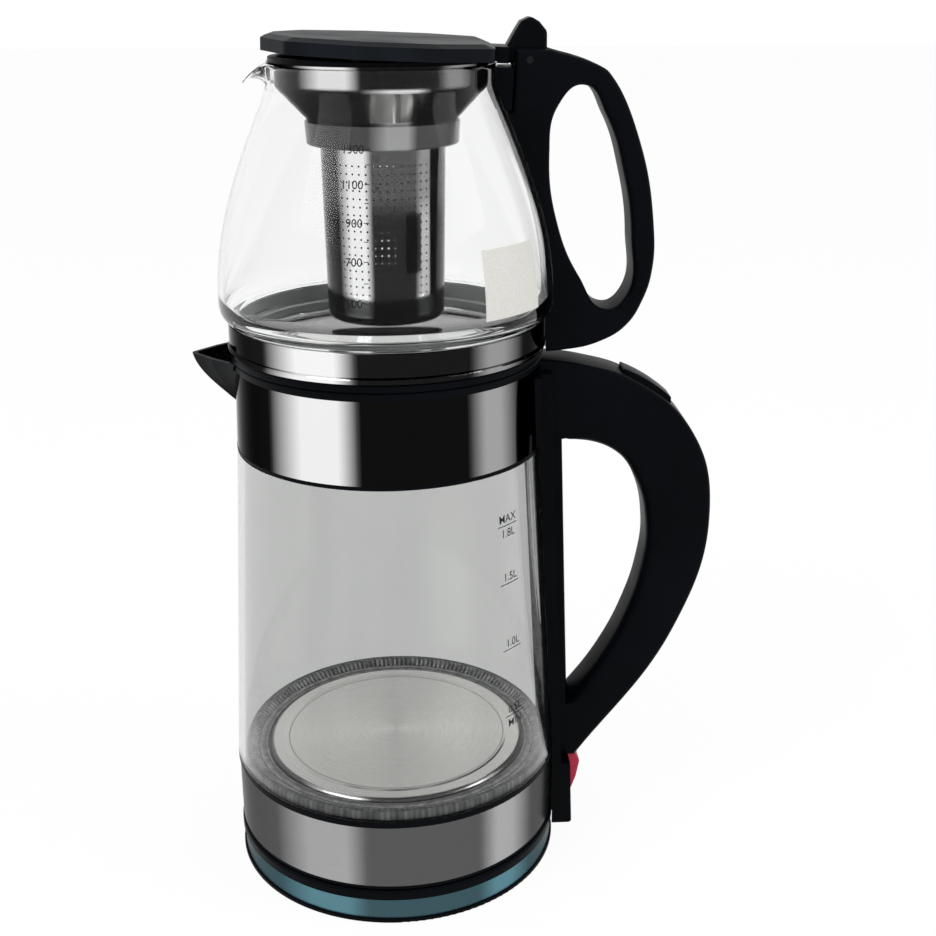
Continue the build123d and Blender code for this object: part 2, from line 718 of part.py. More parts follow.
def handle_face():
    """Side view of the whole handle moulding with its finger hole."""
    edge = Spline(*outer_points, tangents=outer_ends)
    foot = outer_points[-1]
    top = outer_points[0]
    rest = Polyline(foot, (back_x(handle_root_z), handle_root_z), (split_x(handle_root_z), handle_root_z),
                    (split_x(spine_top_z), spine_top_z), (top[0], spine_top_z), top)
    hole_edge = Spline(*inner_points, tangents=inner_ends)
    hole = make_face([hole_edge, Line(inner_points[-1], inner_points[0])])
    return make_face([edge, rest]) - hole


handle = slab(handle_face(), handle_half_w)
long_edges = handle.edges().filter_by(GeomType.BSPLINE)
outer_edges = [edge for edge in long_edges if edge.bounding_box().max.X > handle_reach - 1]
handle = chamfer(outer_edges, handle_bevel, handle_bevel * 1.2)
handle -= envelope(seat_gap)
handle -= rod(rim_top_r + seat_gap, rim_z, rim_top_z + 2)

# The cover is the outer strip of the handle, down to the ridge line.
ridge_points = shifted(outer_points, handle_cover_t)
seam_points = shifted(outer_points, handle_cover_t + handle_seam)


def beyond_face(points):
    """Side view of everything outside the contour through the points."""
    edge = Spline(*points, tangents=outer_ends)
    far = handle_reach + 20
    first, last = points[0], points[-1]
    rest = Polyline(last, (last[0] - 2, last[1] - 30), (far, last[1] - 30), (far, handle_top_z + 20),
                    (first[0] - 30, handle_top_z + 20), (first[0] - 30, first[1]), first)
    return make_face([edge, rest])


def beyond(points):
    """Everything outside the contour through the points, as a slab."""
    return slab(beyond_face(points), handle_half_w + 1)


spring_z = handle_top_z - spring_drop
button_low_x = button_x - button_l / 2
button_high_x = button_x + button_l / 2
pocket_floor_z = spring_z + 0.1
button_pocket = block(button_low_x - 0.4, button_high_x + 0.4, button_half_w + 0.4, pocket_floor_z,
                      handle_top_z + 10)

# Hollow of the moulding, closed by the cover.
room_low_z = handle_hole_bottom_z + 25
room_top_z = pocket_floor_z - handle_wall


def beside(edge, distance, shares):
    """Points at a distance to the right of an edge, at shares of its length."""
    places = [(edge.position_at(share), edge.tangent_at(share)) for share in shares]
    return [(place.X + way.Y * distance, place.Y - way.X * distance) for place, way in places]


seam_edge = Spline(*seam_points, tangents=outer_ends)
hole_edge = Spline(*inner_points, tangents=inner_ends)
room_outer = beside(seam_edge, handle_wall, (0.28, 0.36, 0.44, 0.52, 0.6, 0.68, 0.76))
room_inner = beside(hole_edge, -handle_wall, (0.3, 0.4, 0.5, 0.6, 0.7, 0.8))
handle_room = slab(outline(room_outer + room_inner[::-1]), handle_half_w - handle_wall)
handle_room &= block(grip_in_x - 30, handle_reach, handle_half_w, room_low_z, room_top_z)

handle_shell = handle - beyond(seam_points) - handle_room - button_pocket
steam_top = (split_x(port_z) - 0.6, port_z)
steam_z = handle_hole_bottom_z - 4
steam_low = (split_x(steam_z) + 0.5, steam_z)
steam_path = FilletPolyline((mirror_in_top_r - 3, tube_y, port_z), (steam_top[0], tube_y, steam_top[1]),
                            (steam_low[0], tube_y, steam_low[1]), radius=4.0)
steam_start = Plane(origin=(mirror_in_top_r - 3, tube_y, port_z), z_dir=(1, 0, 0))
steam_channel = sweep(steam_start * Circle(tube_r + seat_gap), path=steam_path)
steam_tube = sweep(steam_start * (Circle(tube_r) - Circle(tube_bore_r)), path=steam_path)
save("steam_tube", steam_tube)

# Room for the switch in the foot, shared by the strip and the spine.
switch_z = handle_foot_z + 6
switch_low_x = split_x(switch_z) - 0.8
switch_room = block(switch_low_x - 0.1, back_x(switch_z) + 5.1, lever_half_w + 0.1, switch_z - 0.1,
                    switch_z + switch_h + 0.1)
strip_bores = [Pos(split_x(z), 0, z) * lying * Cylinder(screw_r + seat_gap / 2, 9) for z in screw_zs]
for cut in [steam_channel, switch_room] + strip_bores:
    handle_shell -= cut
save("handle_shell", handle_shell.solids().sort_by(SortBy.VOLUME)[-1])

handle_cover = (handle & beyond(ridge_points)) - button_pocket - switch_room
save("handle_cover", handle_cover.solids().sort_by(SortBy.VOLUME)[-1])

# Spine: it lies on the kettle from the foot to the polished band, where it is wider, and
# its foot holds the switch lever.
spine_side = outline(
    [(glass_top_r - 12, spine_bottom_z), (back_x(spine_bottom_z), spine_bottom_z),
     (back_x(handle_root_z), handle_root_z - seat_gap), (split_x(handle_root_z), handle_root_z - seat_gap),
     (split_x(spine_top_z) - 0.3, spine_top_z - 0.3), (glass_top_r - 12, spine_top_z - 0.3)],
    [(1, 1.5)])
spine = slab(spine_side, spine_half_w)
spine += block(glass_top_r - 12, spine_flare_x, spine_flare_half_w, mirror_z + 0.2, spine_top_z - 0.3)
spine -= envelope(seat_gap)
spine -= rod(base_r + 2 * move_gap, 0, cover_z)

# Lever: a red paddle on a cross pin in the spine's foot.
lever_x = back_x(lever_pivot_z) - lever_hub_r
lever_out_x = back_x(lever_pivot_z) + lever_stand_out
lever_face = outline(
    [(lever_x - 1, lever_pivot_z + lever_hub_r - 0.6), (back_x(lever_top_z) + 1.0, lever_top_z),
     (back_x(lever_top_z) + 4.4, lever_top_z - 1.0), (lever_out_x, lever_top_z - 5.5),
     (lever_out_x - 1.6, lever_pivot_z - 4.5), (back_x(lever_bottom_z) + 1.5, lever_bottom_z),
     (back_x(lever_bottom_z) - 1.0, lever_bottom_z + 0.8),
     (lever_x - 1, lever_pivot_z - lever_hub_r + 0.6)],
    [(1, 0.6), (2, 1.4), (3, 2.4), (4, 3.0), (5, 0.9), (6, 0.6)])
lever = slab(lever_face, lever_half_w)
lever += cross_rod(lever_hub_r, lever_half_w, lever_x, lever_pivot_z)
lever -= cross_rod(lever_pin_r + shaft_gap, lever_half_w + 1, lever_x, lever_pivot_z)
save("switch_lever", lever)

pin_half_l = spine_half_w - 6.0
save("switch_pin", cross_rod(lever_pin_r, pin_half_l, lever_x, lever_pivot_z))

lever_room = block(lever_x - lever_hub_r - 0.4, lever_out_x + 10, lever_half_w + 0.4, lever_bottom_z - 2.4,
                   lever_top_z + 1.6)
lever_room -= envelope(1.0)
spine -= lever_room
spine -= cross_rod(lever_pin_r + seat_gap / 4, pin_half_l + 0.1, lever_x, lever_pivot_z)
foot_bore = Pos(glass_bottom_r, 0, radial_screw_z) * Rot(0, 90, 0) * Cylinder(screw_r + seat_gap / 2, 7)
for cut in [steam_channel, switch_room, foot_bore] + strip_bores + collar_bores:
    spine -= cut
save("handle_spine", spine.solids().sort_by(SortBy.VOLUME)[-1])

# Steam switch: a small housing with its bimetal disc on the lower face.
switch = block(switch_low_x, back_x(switch_z) + 4.8, lever_half_w, switch_z + 1.0, switch_z + switch_h)
save("steam_switch", switch)
save("bimetal_disc", Pos(switch_low_x + 4.5, 0, switch_z) * Cylinder(
    3.8, 0.9, align=(Align.CENTER, Align.CENTER, Align.MIN)))

# Radial screws: two through the collar in the spine's head, one through the band in its foot.
handle_screws = []
for z in screw_zs:
    head_x = mirror_in_top_r - seat_gap - collar_t - screw_head_h - 0.8
    length = split_x(z) + 3.5 - head_x
    shank = Pos(head_x + length / 2, 0, z) * Rot(0, 90, 0) * Cylinder(screw_r, length)
    handle_screws.append(shank + Pos(head_x, 0, z) * Rot(0, 90, 0) * Cylinder(screw_head_r, screw_head_h))
foot_head_x = upstand_r - cover_upstand_t - screw_head_h / 2 - 0.2
foot_l = glass_bottom_r + 2.6 - foot_head_x
handle_screws.append(
    Pos(foot_head_x + foot_l / 2, 0, radial_screw_z) * Rot(0, 90, 0) * Cylinder(screw_r, foot_l)
    + Pos(foot_head_x, 0, radial_screw_z) * Rot(0, 90, 0) * Cylinder(screw_head_r, screw_head_h))
save("handle_screws", together(handle_screws))

# Release button: a raised pad with a skirt in the pocket, on a coil spring.
raised_points = shifted(outer_points, -button_raise)
button_outside = beyond(raised_points)
skirt_points = shifted(outer_points, button_skirt)
pad = block(button_low_x, button_high_x, button_half_w, handle_hole_top_z, handle_top_z + 10)
button = (pad & beyond(skirt_points)) - button_outside
button = fillet(button.faces().sort_by(Axis.Z)[-1].edges(), 0.6)
stem_z = handle_top_z - stem_drop
button += rod(spring_r + 1.0, stem_z, stem_z + stem_l, button_x - 3)
save("release_button", button.solids().sort_by(SortBy.VOLUME)[-1])

spring_h = stem_z - pocket_floor_z
coil_path = Helix(pitch=(spring_h - 2 * spring_wire_r) / spring_turns, height=spring_h - 2 * spring_wire_r,
                  radius=spring_r)
coil = sweep(Plane(origin=coil_path @ 0, z_dir=coil_path % 0) * Circle(spring_wire_r), path=coil_path)
save("button_spring", Pos(button_x - 3, 0, pocket_floor_z + spring_wire_r) * coil)

# ================================================================ Teapot
ring_top_z = flange_z + teapot_ring_h
ring_in_r = teapot_ring_r - teapot_ring_t
spigot_r = mouth_r - teapot_spigot_clear
disc_top_z = flange_z + teapot_ring_t

# Polished steel ring: flange on the kettle's rim, spigot in its mouth, wall round the glass.
steel_ring = turned(
    [(spigot_r - teapot_ring_t, flange_z - teapot_spigot_h), (spigot_r, flange_z - teapot_spigot_h),
     (spigot_r, flange_z), (teapot_flange_r, flange_z), (teapot_flange_r, flange_z + teapot_flange_h),
     (teapot_ring_r - 0.4, flange_z + teapot_flange_h + 0.8),
     (teapot_ring_r, flange_z + teapot_flange_h + 1.4),
     (teapot_ring_r, ring_top_z), (ring_in_r, ring_top_z), (ring_in_r, disc_top_z),
     (spigot_r - teapot_ring_t, disc_top_z)],
    [(3, 0.6), (4, 0.7), (7, 0.4)])
save("teapot_base_ring", steel_ring)

# Silicone gasket between the ring and the glass.
gasket_r = ring_in_r - seat_gap / 2
foot_r = gasket_r - gasket_t - seat_gap / 2
save("teapot_gasket", turned(
    [(foot_r - 6, disc_top_z), (gasket_r, disc_top_z), (gasket_r, ring_top_z - 0.6),
     (gasket_r - gasket_t, ring_top_z - 0.6), (gasket_r - gasket_t, disc_top_z + gasket_floor_t),
     (foot_r - 6, disc_top_z + gasket_floor_t)]))


def teapot_wall(inset, low_z, top_z):
    """Side view of the glass drawn in by an inset, from the axis to the wall and back."""
    shoulder_z = ring_top_z + teapot_foot_clear + inset
    belly_z = teapot_z + teapot_belly_h
    neck_z = teapot_z + teapot_neck_h
    neck_r, belly_r = teapot_neck_r - inset, teapot_belly_r - inset
    shares = (0.0, 0.2, 0.4, 0.6, 0.8, 1.0)
    curve = [(neck_r + (belly_r - neck_r) * math.cos(math.pi / 2 * share),
              belly_z + (neck_z - belly_z) * share) for share in shares]
    end_slope = -math.pi / 2 * (belly_r - neck_r) / (neck_z - belly_z)
    side = Spline(*curve, tangents=[(0, 1), (end_slope, 1)])
    foot = Polyline((0, low_z), (foot_r - inset, low_z), (foot_r - inset, shoulder_z),
                    (belly_r - 1.8, shoulder_z + 1.0), curve[0])
    head = Polyline(curve[-1], (neck_r, top_z), (0, top_z), (0, low_z))
    face = make_face([foot, side, head])
    for corner, radius in [((foot_r - inset, low_z), 2.0), ((foot_r - inset, shoulder_z), 0.6),
                           ((belly_r - 1.8, shoulder_z + 1.0), 4.0), (curve[-1], 14.0)]:
        face = fillet(face.vertices().sort_by_distance((*corner, 0))[0], radius)
    return face


def lip_section(level, reach, inset):
    """Pointed section of the pouring lip at a height above the neck."""
    root_x = -(teapot_neck_r - inset) * math.cos(math.asin(teapot_lip_half_w / teapot_neck_r))
    tip_x = -(teapot_neck_r + reach - 1.2 * inset)
    half_w = teapot_lip_half_w - 0.8 * inset
    deep_x = -teapot_neck_r / 2
    points = [(deep_x, half_w), (root_x, half_w), (tip_x, 0), (root_x, -half_w), (deep_x, -half_w)]
    return Pos(0, 0, level) * outline(points, [(1, 8.0), (2, 2.8 if inset else 4.0), (3, 8.0)])


def lip(inset, floor, top_z):
    """The lip's body: it swells from the neck to its full reach and stands up to the rim."""
    root_z = glass_rim_z - teapot_lip_h + floor
    full_z = glass_rim_z - teapot_lip_nose_r + floor
    sections = [lip_section(root_z, 0.3, inset), lip_section(full_z, teapot_lip_reach, inset),
                lip_section(top_z, teapot_lip_reach, inset)]
    return loft(sections, ruled=True)


# The glass: belly, neck and a small pouring lip with a rounded nose.
teapot_glass = revolve(Plane.XZ * teapot_wall(0, teapot_z, glass_rim_z), Axis.Z)
teapot_glass += lip(0, 0, glass_rim_z)
inner_wall = teapot_wall(teapot_glass_t, teapot_z + 1.2 * teapot_glass_t, glass_rim_z + 1)
teapot_glass -= revolve(Plane.XZ * inner_wall, Axis.Z)
teapot_glass -= lip(teapot_lip_t, teapot_lip_t, glass_rim_z + 1)
lip_tip_x = -(teapot_neck_r + teapot_lip_reach)
nose_x = lip_tip_x + teapot_lip_nose_r
nose_z = glass_rim_z - teapot_lip_nose_r
nose_cut = block(lip_tip_x - 1, nose_x, teapot_lip_half_w, nose_z, glass_rim_z + 1)
teapot_glass -= nose_cut - cross_rod(teapot_lip_nose_r, teapot_lip_half_w, nose_x, nose_z)
teapot_glass -= block(lip_tip_x - 1, nose_x, teapot_lip_slot_half_w, nose_z + teapot_lip_t, glass_rim_z + 1)
teapot_glass -= turned([
    (0, teapot_z), (foot_r - 14, teapot_z), (foot_r - 18, teapot_z + 0.9), (0, teapot_z + 0.9)])
save("teapot_glass", teapot_glass.solids().sort_by(SortBy.VOLUME)[-1])


def teapot_envelope(gap):
    """The teapot's outside, ring and glass, grown by a gap."""
    face = teapot_wall(-gap, flange_z, glass_rim_z + 10)
    ring = turned([(0, flange_z - 10), (teapot_flange_r + gap, flange_z - 10),
                   (teapot_flange_r + gap, flange_z + teapot_flange_h + gap),
                   (teapot_ring_r + gap, flange_z + teapot_flange_h + 1.4 + gap),
                   (teapot_ring_r + gap, ring_top_z + gap), (0, ring_top_z + gap)])
    return ring + revolve(Plane.XZ * face, Axis.Z)


# ================================================================ Teapot handle
teapot_handle_span = teapot_handle_reach - teapot_handle_front_x
teapot_handle_rise = teapot_handle_top_z - teapot_handle_low_z


def teapot_contour(span, shares):
    """Points of the teapot handle's side view, from shares of a span before its front and of its rise."""
    return [(teapot_handle_front_x + across * span, teapot_handle_low_z + up * teapot_handle_rise)
            for across, up in shares]


front_low_x = teapot_handle_front_x - 1.4
front_in_x = front_low_x - 14.0
crest_x = teapot_handle_front_x + 0.24 * teapot_handle_span
grip_back = teapot_contour(teapot_handle_span, [
    (0.63, 0.938), (0.853, 0.730), (0.9935, 0.4127), (0.990, 0.270), (0.934, 0.1746), (0.818, 0.0833),
    (0.6365, 0.0286), (0.372, 0.0)])
handle_front = Polyline(
    grip_back[-1], (front_in_x, teapot_handle_low_z), (front_in_x, saddle_bottom_z),
    (front_low_x, saddle_bottom_z), (teapot_handle_front_x, teapot_handle_top_z + 0.4),
    (crest_x, teapot_handle_top_z), grip_back[0])
teapot_side = make_face([handle_front, Spline(*grip_back, tangents=[(0.5, -0.86), (-1, 0)])])
teapot_side = fillet(teapot_side.vertices().sort_by_distance((*grip_back[0], 0))[0], teapot_handle_corner_r)
hole_line = teapot_contour(teapot_handle_span - teapot_grip_t, [
    (0.569, 0.887), (0.356, 0.825), (0.294, 0.667), (0.380, 0.4246), (0.569, 0.254), (0.797, 0.139),
    (0.968, 0.1825), (1.0, 0.389), (0.9165, 0.603), (0.7575, 0.790)])
finger_hole = make_face([Spline(*hole_line, periodic=True)])
teapot_handle = slab(teapot_side - finger_hole, teapot_handle_half_w)
side_edges = [edge for edge in teapot_handle.edges().filter_by(GeomType.BSPLINE)
              if abs(abs(edge.center().Y) - teapot_handle_half_w) < 0.01]
teapot_handle = chamfer(side_edges, teapot_handle_bevel)
teapot_handle -= teapot_envelope(teapot_handle_gap)

# Slot between the cheeks for the thumb piece, and the hinge pin's bore.
slot_half_w = thumb_half_w + move_gap + 0.1
slot_top_z = teapot_handle_top_z + thumb_h
thumb_slot = slab(outline([
    (teapot_handle_front_x - 6, slot_top_z), (teapot_handle_front_x - 6, hinge_z - thumb_slot_depth),
    (hinge_x + 7.4, hinge_z - thumb_slot_depth), (hinge_x + 15.0, hinge_z - 0.585 * thumb_slot_depth),
    (hinge_x + thumb_room_l, hinge_z - 0.122 * thumb_slot_depth), (hinge_x + thumb_room_l, slot_top_z)],
    [(2, 3.0), (3, 3.0), (4, 2.0)]), slot_half_w)
teapot_handle -= thumb_slot
pin_half_l = teapot_handle_half_w - 0.6
teapot_handle -= cross_rod(hinge_pin_r + seat_gap / 4, teapot_handle_half_w + 1, hinge_x, hinge_z)
save("hinge_pin", cross_rod(hinge_pin_r, pin_half_l, hinge_x, hinge_z))

# A steel bracket on the ring is screwed into the handle's foot from below.
bracket_z = flange_z + teapot_flange_h + 1.6
bracket_x = teapot_ring_r + teapot_handle_gap
bracket = block(teapot_ring_r - 4, bracket_x + bracket_t, bracket_half_w, bracket_z, ring_top_z - 0.6)
bracket += block(teapot_ring_r - 4, bracket_x + bracket_l, bracket_half_w, bracket_z, bracket_z + bracket_t)
bracket -= rod(teapot_ring_r + seat_gap / 4, flange_z, ring_top_z)
bracket_screw_x = bracket_x + bracket_l - 3.6
bracket -= rod(screw_r + seat_gap / 2, bracket_z - 1, bracket_z + 3, bracket_screw_x)
save("ring_bracket", bracket)
bracket_room = block(teapot_ring_r - 4, bracket_x + bracket_l + 0.2, bracket_half_w + 0.2, bracket_z - 0.1,
                     ring_top_z - 0.4)
teapot_handle -= bracket_room
teapot_handle -= rod(screw_r + seat_gap, teapot_handle_low_z - 3, bracket_z, bracket_screw_x)
head_top_z = teapot_handle_low_z + screw_head_h
teapot_handle -= rod(screw_head_r + seat_gap, teapot_handle_low_z - 3, head_top_z, bracket_screw_x)
save("teapot_handle", teapot_handle.solids().sort_by(SortBy.VOLUME)[-1])
save("bracket_screw", rod(screw_head_r, teapot_handle_low_z + 0.1, head_top_z, bracket_screw_x)
     + rod(screw_r, teapot_handle_low_z + 0.1, bracket_z + 6, bracket_screw_x))

# Saddle: the piece that beds the handle on the neck.
front_slope = (teapot_handle_front_x - front_low_x) / (teapot_handle_top_z + 0.4 - saddle_bottom_z)
saddle_top_x = front_low_x + front_slope * (saddle_top_z - saddle_bottom_z) - seat_gap
saddle_face = outline([
    (front_in_x, saddle_bottom_z), (front_low_x - seat_gap, saddle_bottom_z),
    (saddle_top_x, saddle_top_z), (front_in_x, saddle_top_z)])
saddle = slab(saddle_face, teapot_handle_half_w) - teapot_envelope(seat_gap)
save("neck_saddle", saddle.solids().sort_by(SortBy.VOLUME)[-1])

# ================================================================ Lid
lid_low_z = glass_rim_z + lid_clear
lid_edge_z = lid_low_z + lid_skirt_h
lid_top_z = lid_edge_z + lid_crown_h
ceiling_z = lid_top_z - lid_top_t
funnel_ring_top_z = funnel_z + funnel_t + funnel_ring_h
half_outline = [(-lid_left_x, 0.2 * lid_half_w), (-0.74 * lid_half_w, 0.7 * lid_half_w),
                (-0.16 * lid_half_w, lid_half_w), (0.44 * lid_half_w, 0.98 * lid_half_w),
                (0.88 * lid_half_w, 0.72 * lid_half_w), (lid_right_x, arm_half_w)]
lid_corners = [(number, lid_corner_r) for number in (1, 2, 3, 4, 7, 8, 9, 10)]
lid_face = outline(half_outline + [(x, -y) for x, y in reversed(half_outline)], lid_corners)
lid_crown_face = offset(lid_face, -lid_crown_inset, kind=Kind.INTERSECTION)
lid_inside = offset(lid_face, -lid_wall, kind=Kind.INTERSECTION)


def at_rest(shape):
    """A lid piece, drawn closed, turned about the hinge to the angle that it rests at."""
    hinge = Pos(hinge_x, 0, hinge_z)
    return hinge * Rot(0, lid_rest_angle, 0) * hinge.inverse() * shape


lid = extrude(Pos(0, 0, lid_low_z) * lid_face, lid_skirt_h)
lid += loft([Pos(0, 0, lid_edge_z) * lid_face, Pos(0, 0, lid_top_z) * lid_crown_face])
lid -= extrude(Pos(0, 0, lid_low_z) * lid_inside, ceiling_z - lid_low_z)
ring_room = rod(funnel_ring_r + ring_room_gap, lid_low_z - lid_skirt_h, funnel_ring_top_z + 2 * move_gap)
rim_room = rod(teapot_neck_r + 2 * move_gap, lid_low_z - lid_skirt_h, glass_rim_z + move_gap)
tongue_low_z = funnel_ring_top_z + 0.5
tongue_x = lid_right_x - tongue_l
lid -= ring_room
lid -= block(lid_right_x - 3, lid_right_x + 1, tongue_half_w + 0.1, lid_low_z - 1, ceiling_z)
lid_screw_places = [(tongue_x + 2.2, sign * (tongue_half_w - 2.5)) for sign in (-1, 1)]
for x, y in lid_screw_places:
    lid -= rod(lid_screw_r + seat_gap, ceiling_z - 1, ceiling_z + 1.5, x, y)
save("teapot_lid", at_rest(lid))
save("lid_liner", at_rest(rod(liner_r, ceiling_z - liner_t - 0.05, ceiling_z - 0.05)))

# Thumb lever: tongue under the lid, wide arm, hub on the pin and the upright thumb piece.
thumb_face = outline([
    (hinge_x - thumb_front, hinge_z - arm_drop), (hinge_x + 0.49 * thumb_back, hinge_z - thumb_heel_drop),
    (hinge_x + thumb_back, hinge_z + 0.217 * thumb_h),
    (hinge_x + 0.944 * thumb_back, hinge_z + 0.675 * thumb_h),
    (hinge_x + 0.472 * thumb_back, hinge_z + 0.892 * thumb_h), (hinge_x, hinge_z + thumb_h),
    (hinge_x - 0.42 * thumb_front, hinge_z + 0.88 * thumb_h),
    (hinge_x - 0.653 * thumb_front, hinge_z + 0.65 * thumb_h), (hinge_x - thumb_front, lid_edge_z - 0.4)],
    [(2, 3.0), (3, 3.0), (5, 2.4), (7, 3.0)])
thumb = slab(thumb_face, thumb_half_w)
thumb = chamfer([edge for face in thumb.faces().filter_by(Axis.Y) for edge in face.edges()], thumb_bevel)
thumb += cross_rod(hinge_pin_r + 2.6, thumb_half_w, hinge_x, hinge_z)
thumb += block(lid_right_x + 0.05, hinge_x - arm_reach, arm_half_w, hinge_z - arm_drop, lid_edge_z - 0.2)
thumb -= ring_room
thumb -= rim_room
thumb += block(tongue_x, lid_right_x + 0.5, tongue_half_w, tongue_low_z, ceiling_z - 0.05)
thumb -= cross_rod(hinge_pin_r + shaft_gap, thumb_half_w + 1, hinge_x, hinge_z)
for x, y in lid_screw_places:
    thumb -= rod(lid_screw_r + seat_gap, tongue_low_z - 1, ceiling_z + 1, x, y)
save("thumb_lever", at_rest(thumb))
save("lid_screws", together([at_rest(
    rod(lid_screw_r, tongue_low_z - 0.2, ceiling_z + 1.4, x, y)
    + rod(1.8 * lid_screw_r, tongue_low_z - 0.45, tongue_low_z - seat_gap / 2, x, y))
    for x, y in lid_screw_places]))

# ================================================================ Infuser
funnel_in_r = funnel_r - funnel_t
cyl_z = funnel_z - funnel_cyl_h
cone_z = cyl_z - funnel_cone_h
cone_r = collar_out_r - 1.4
funnel = turned(
    [(funnel_in_r, funnel_z + funnel_t), (funnel_in_r, cyl_z), (cone_r - funnel_t, cone_z),
     (tube_top_r + 0.1, cone_z),
     (tube_top_r + 0.1, cone_z - funnel_t), (cone_r, cone_z - funnel_t), (funnel_r, cyl_z - funnel_t),
     (funnel_r, funnel_z), (funnel_flange_r, funnel_z), (funnel_flange_r, funnel_z + funnel_t)],
    [(0, 0.6), (1, 2.0), (6, 2.6), (7, 0.3)])
save("infuser_funnel", funnel)

# Black ring on the funnel's flange, under the lid.
flange_top = funnel_z + funnel_t
save("funnel_ring", turned(
    [(funnel_ring_r - funnel_ring_w, flange_top), (funnel_ring_r, flange_top),
     (funnel_ring_r, flange_top + funnel_ring_h),
     (funnel_ring_r - funnel_ring_w, flange_top + funnel_ring_h)],
    [(2, 0.4), (3, 0.4)]))

# Smoky plastic collar that joins the funnel and the strainer tube.
collar_top_z = cone_z - funnel_t - 0.02
collar_low_z = collar_top_z - collar_h
tube_low_z = funnel_z - infuser_h
collar_in_r = tube_top_r + 0.15
save("infuser_collar", turned(
    [(collar_in_r, collar_low_z), (collar_out_r - 0.6, collar_low_z), (collar_out_r, collar_top_z),
     (collar_in_r, collar_top_z)],
    [(1, 0.8), (2, 0.5)]))

# Strainer tube with a closed, rounded bottom.
save("infuser_tube", turned(
    [(0, tube_low_z), (tube_bottom_r, tube_low_z), (tube_top_r, cone_z), (tube_top_r - infuser_t, cone_z),
     (tube_bottom_r - infuser_t, tube_low_z + infuser_t), (0, tube_low_z + infuser_t)],
    [(1, infuser_round), (4, infuser_round - infuser_t)]))
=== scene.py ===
import math
import bpy
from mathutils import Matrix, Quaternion, Vector


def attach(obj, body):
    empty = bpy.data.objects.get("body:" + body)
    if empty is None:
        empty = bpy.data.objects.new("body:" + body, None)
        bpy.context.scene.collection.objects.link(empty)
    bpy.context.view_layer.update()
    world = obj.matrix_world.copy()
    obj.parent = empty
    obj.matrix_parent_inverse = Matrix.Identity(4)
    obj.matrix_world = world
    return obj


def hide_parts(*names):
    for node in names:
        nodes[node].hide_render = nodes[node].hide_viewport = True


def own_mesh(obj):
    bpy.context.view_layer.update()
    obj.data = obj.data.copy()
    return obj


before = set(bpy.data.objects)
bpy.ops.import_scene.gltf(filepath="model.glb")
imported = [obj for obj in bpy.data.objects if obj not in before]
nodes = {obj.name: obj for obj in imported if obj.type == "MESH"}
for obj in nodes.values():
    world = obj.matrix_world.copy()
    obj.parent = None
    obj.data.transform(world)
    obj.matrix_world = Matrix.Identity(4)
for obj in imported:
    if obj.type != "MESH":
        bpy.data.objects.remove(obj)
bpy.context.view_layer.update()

# ---------------------------------------------------------------- Power base, black pieces
# The round base is an ABS cover below and an ABS shell above, screwed together from
# underneath; rubber pads lie flush in the cover. The moulds are lightly spark-eroded.


class Wire:
    """One output of a material's node; arithmetic on it adds Math nodes."""

    def __init__(self, finish, socket):
        self.finish = finish
        self.socket = socket

    def maths(self, operation, *values):
        return self.finish.add("ShaderNodeMath", {"operation": operation}, dict(enumerate(values)))

    def __add__(self, other):
        return self.maths("ADD", self, other)

    def __sub__(self, other):
        return self.maths("SUBTRACT", self, other)

    def __rsub__(self, other):
        return self.maths("SUBTRACT", other, self)

    def __mul__(self, other):
        return self.maths("MULTIPLY", self, other)

    def __truediv__(self, other):
        return self.maths("DIVIDE", self, other)

    def __pow__(self, other):
        return self.maths("POWER", self, other)

    def __lt__(self, other):
        return self.maths("LESS_THAN", self, other)

    def __gt__(self, other):
        return self.maths("GREATER_THAN", self, other)

    def fract(self):
        return self.maths("FRACT", self)


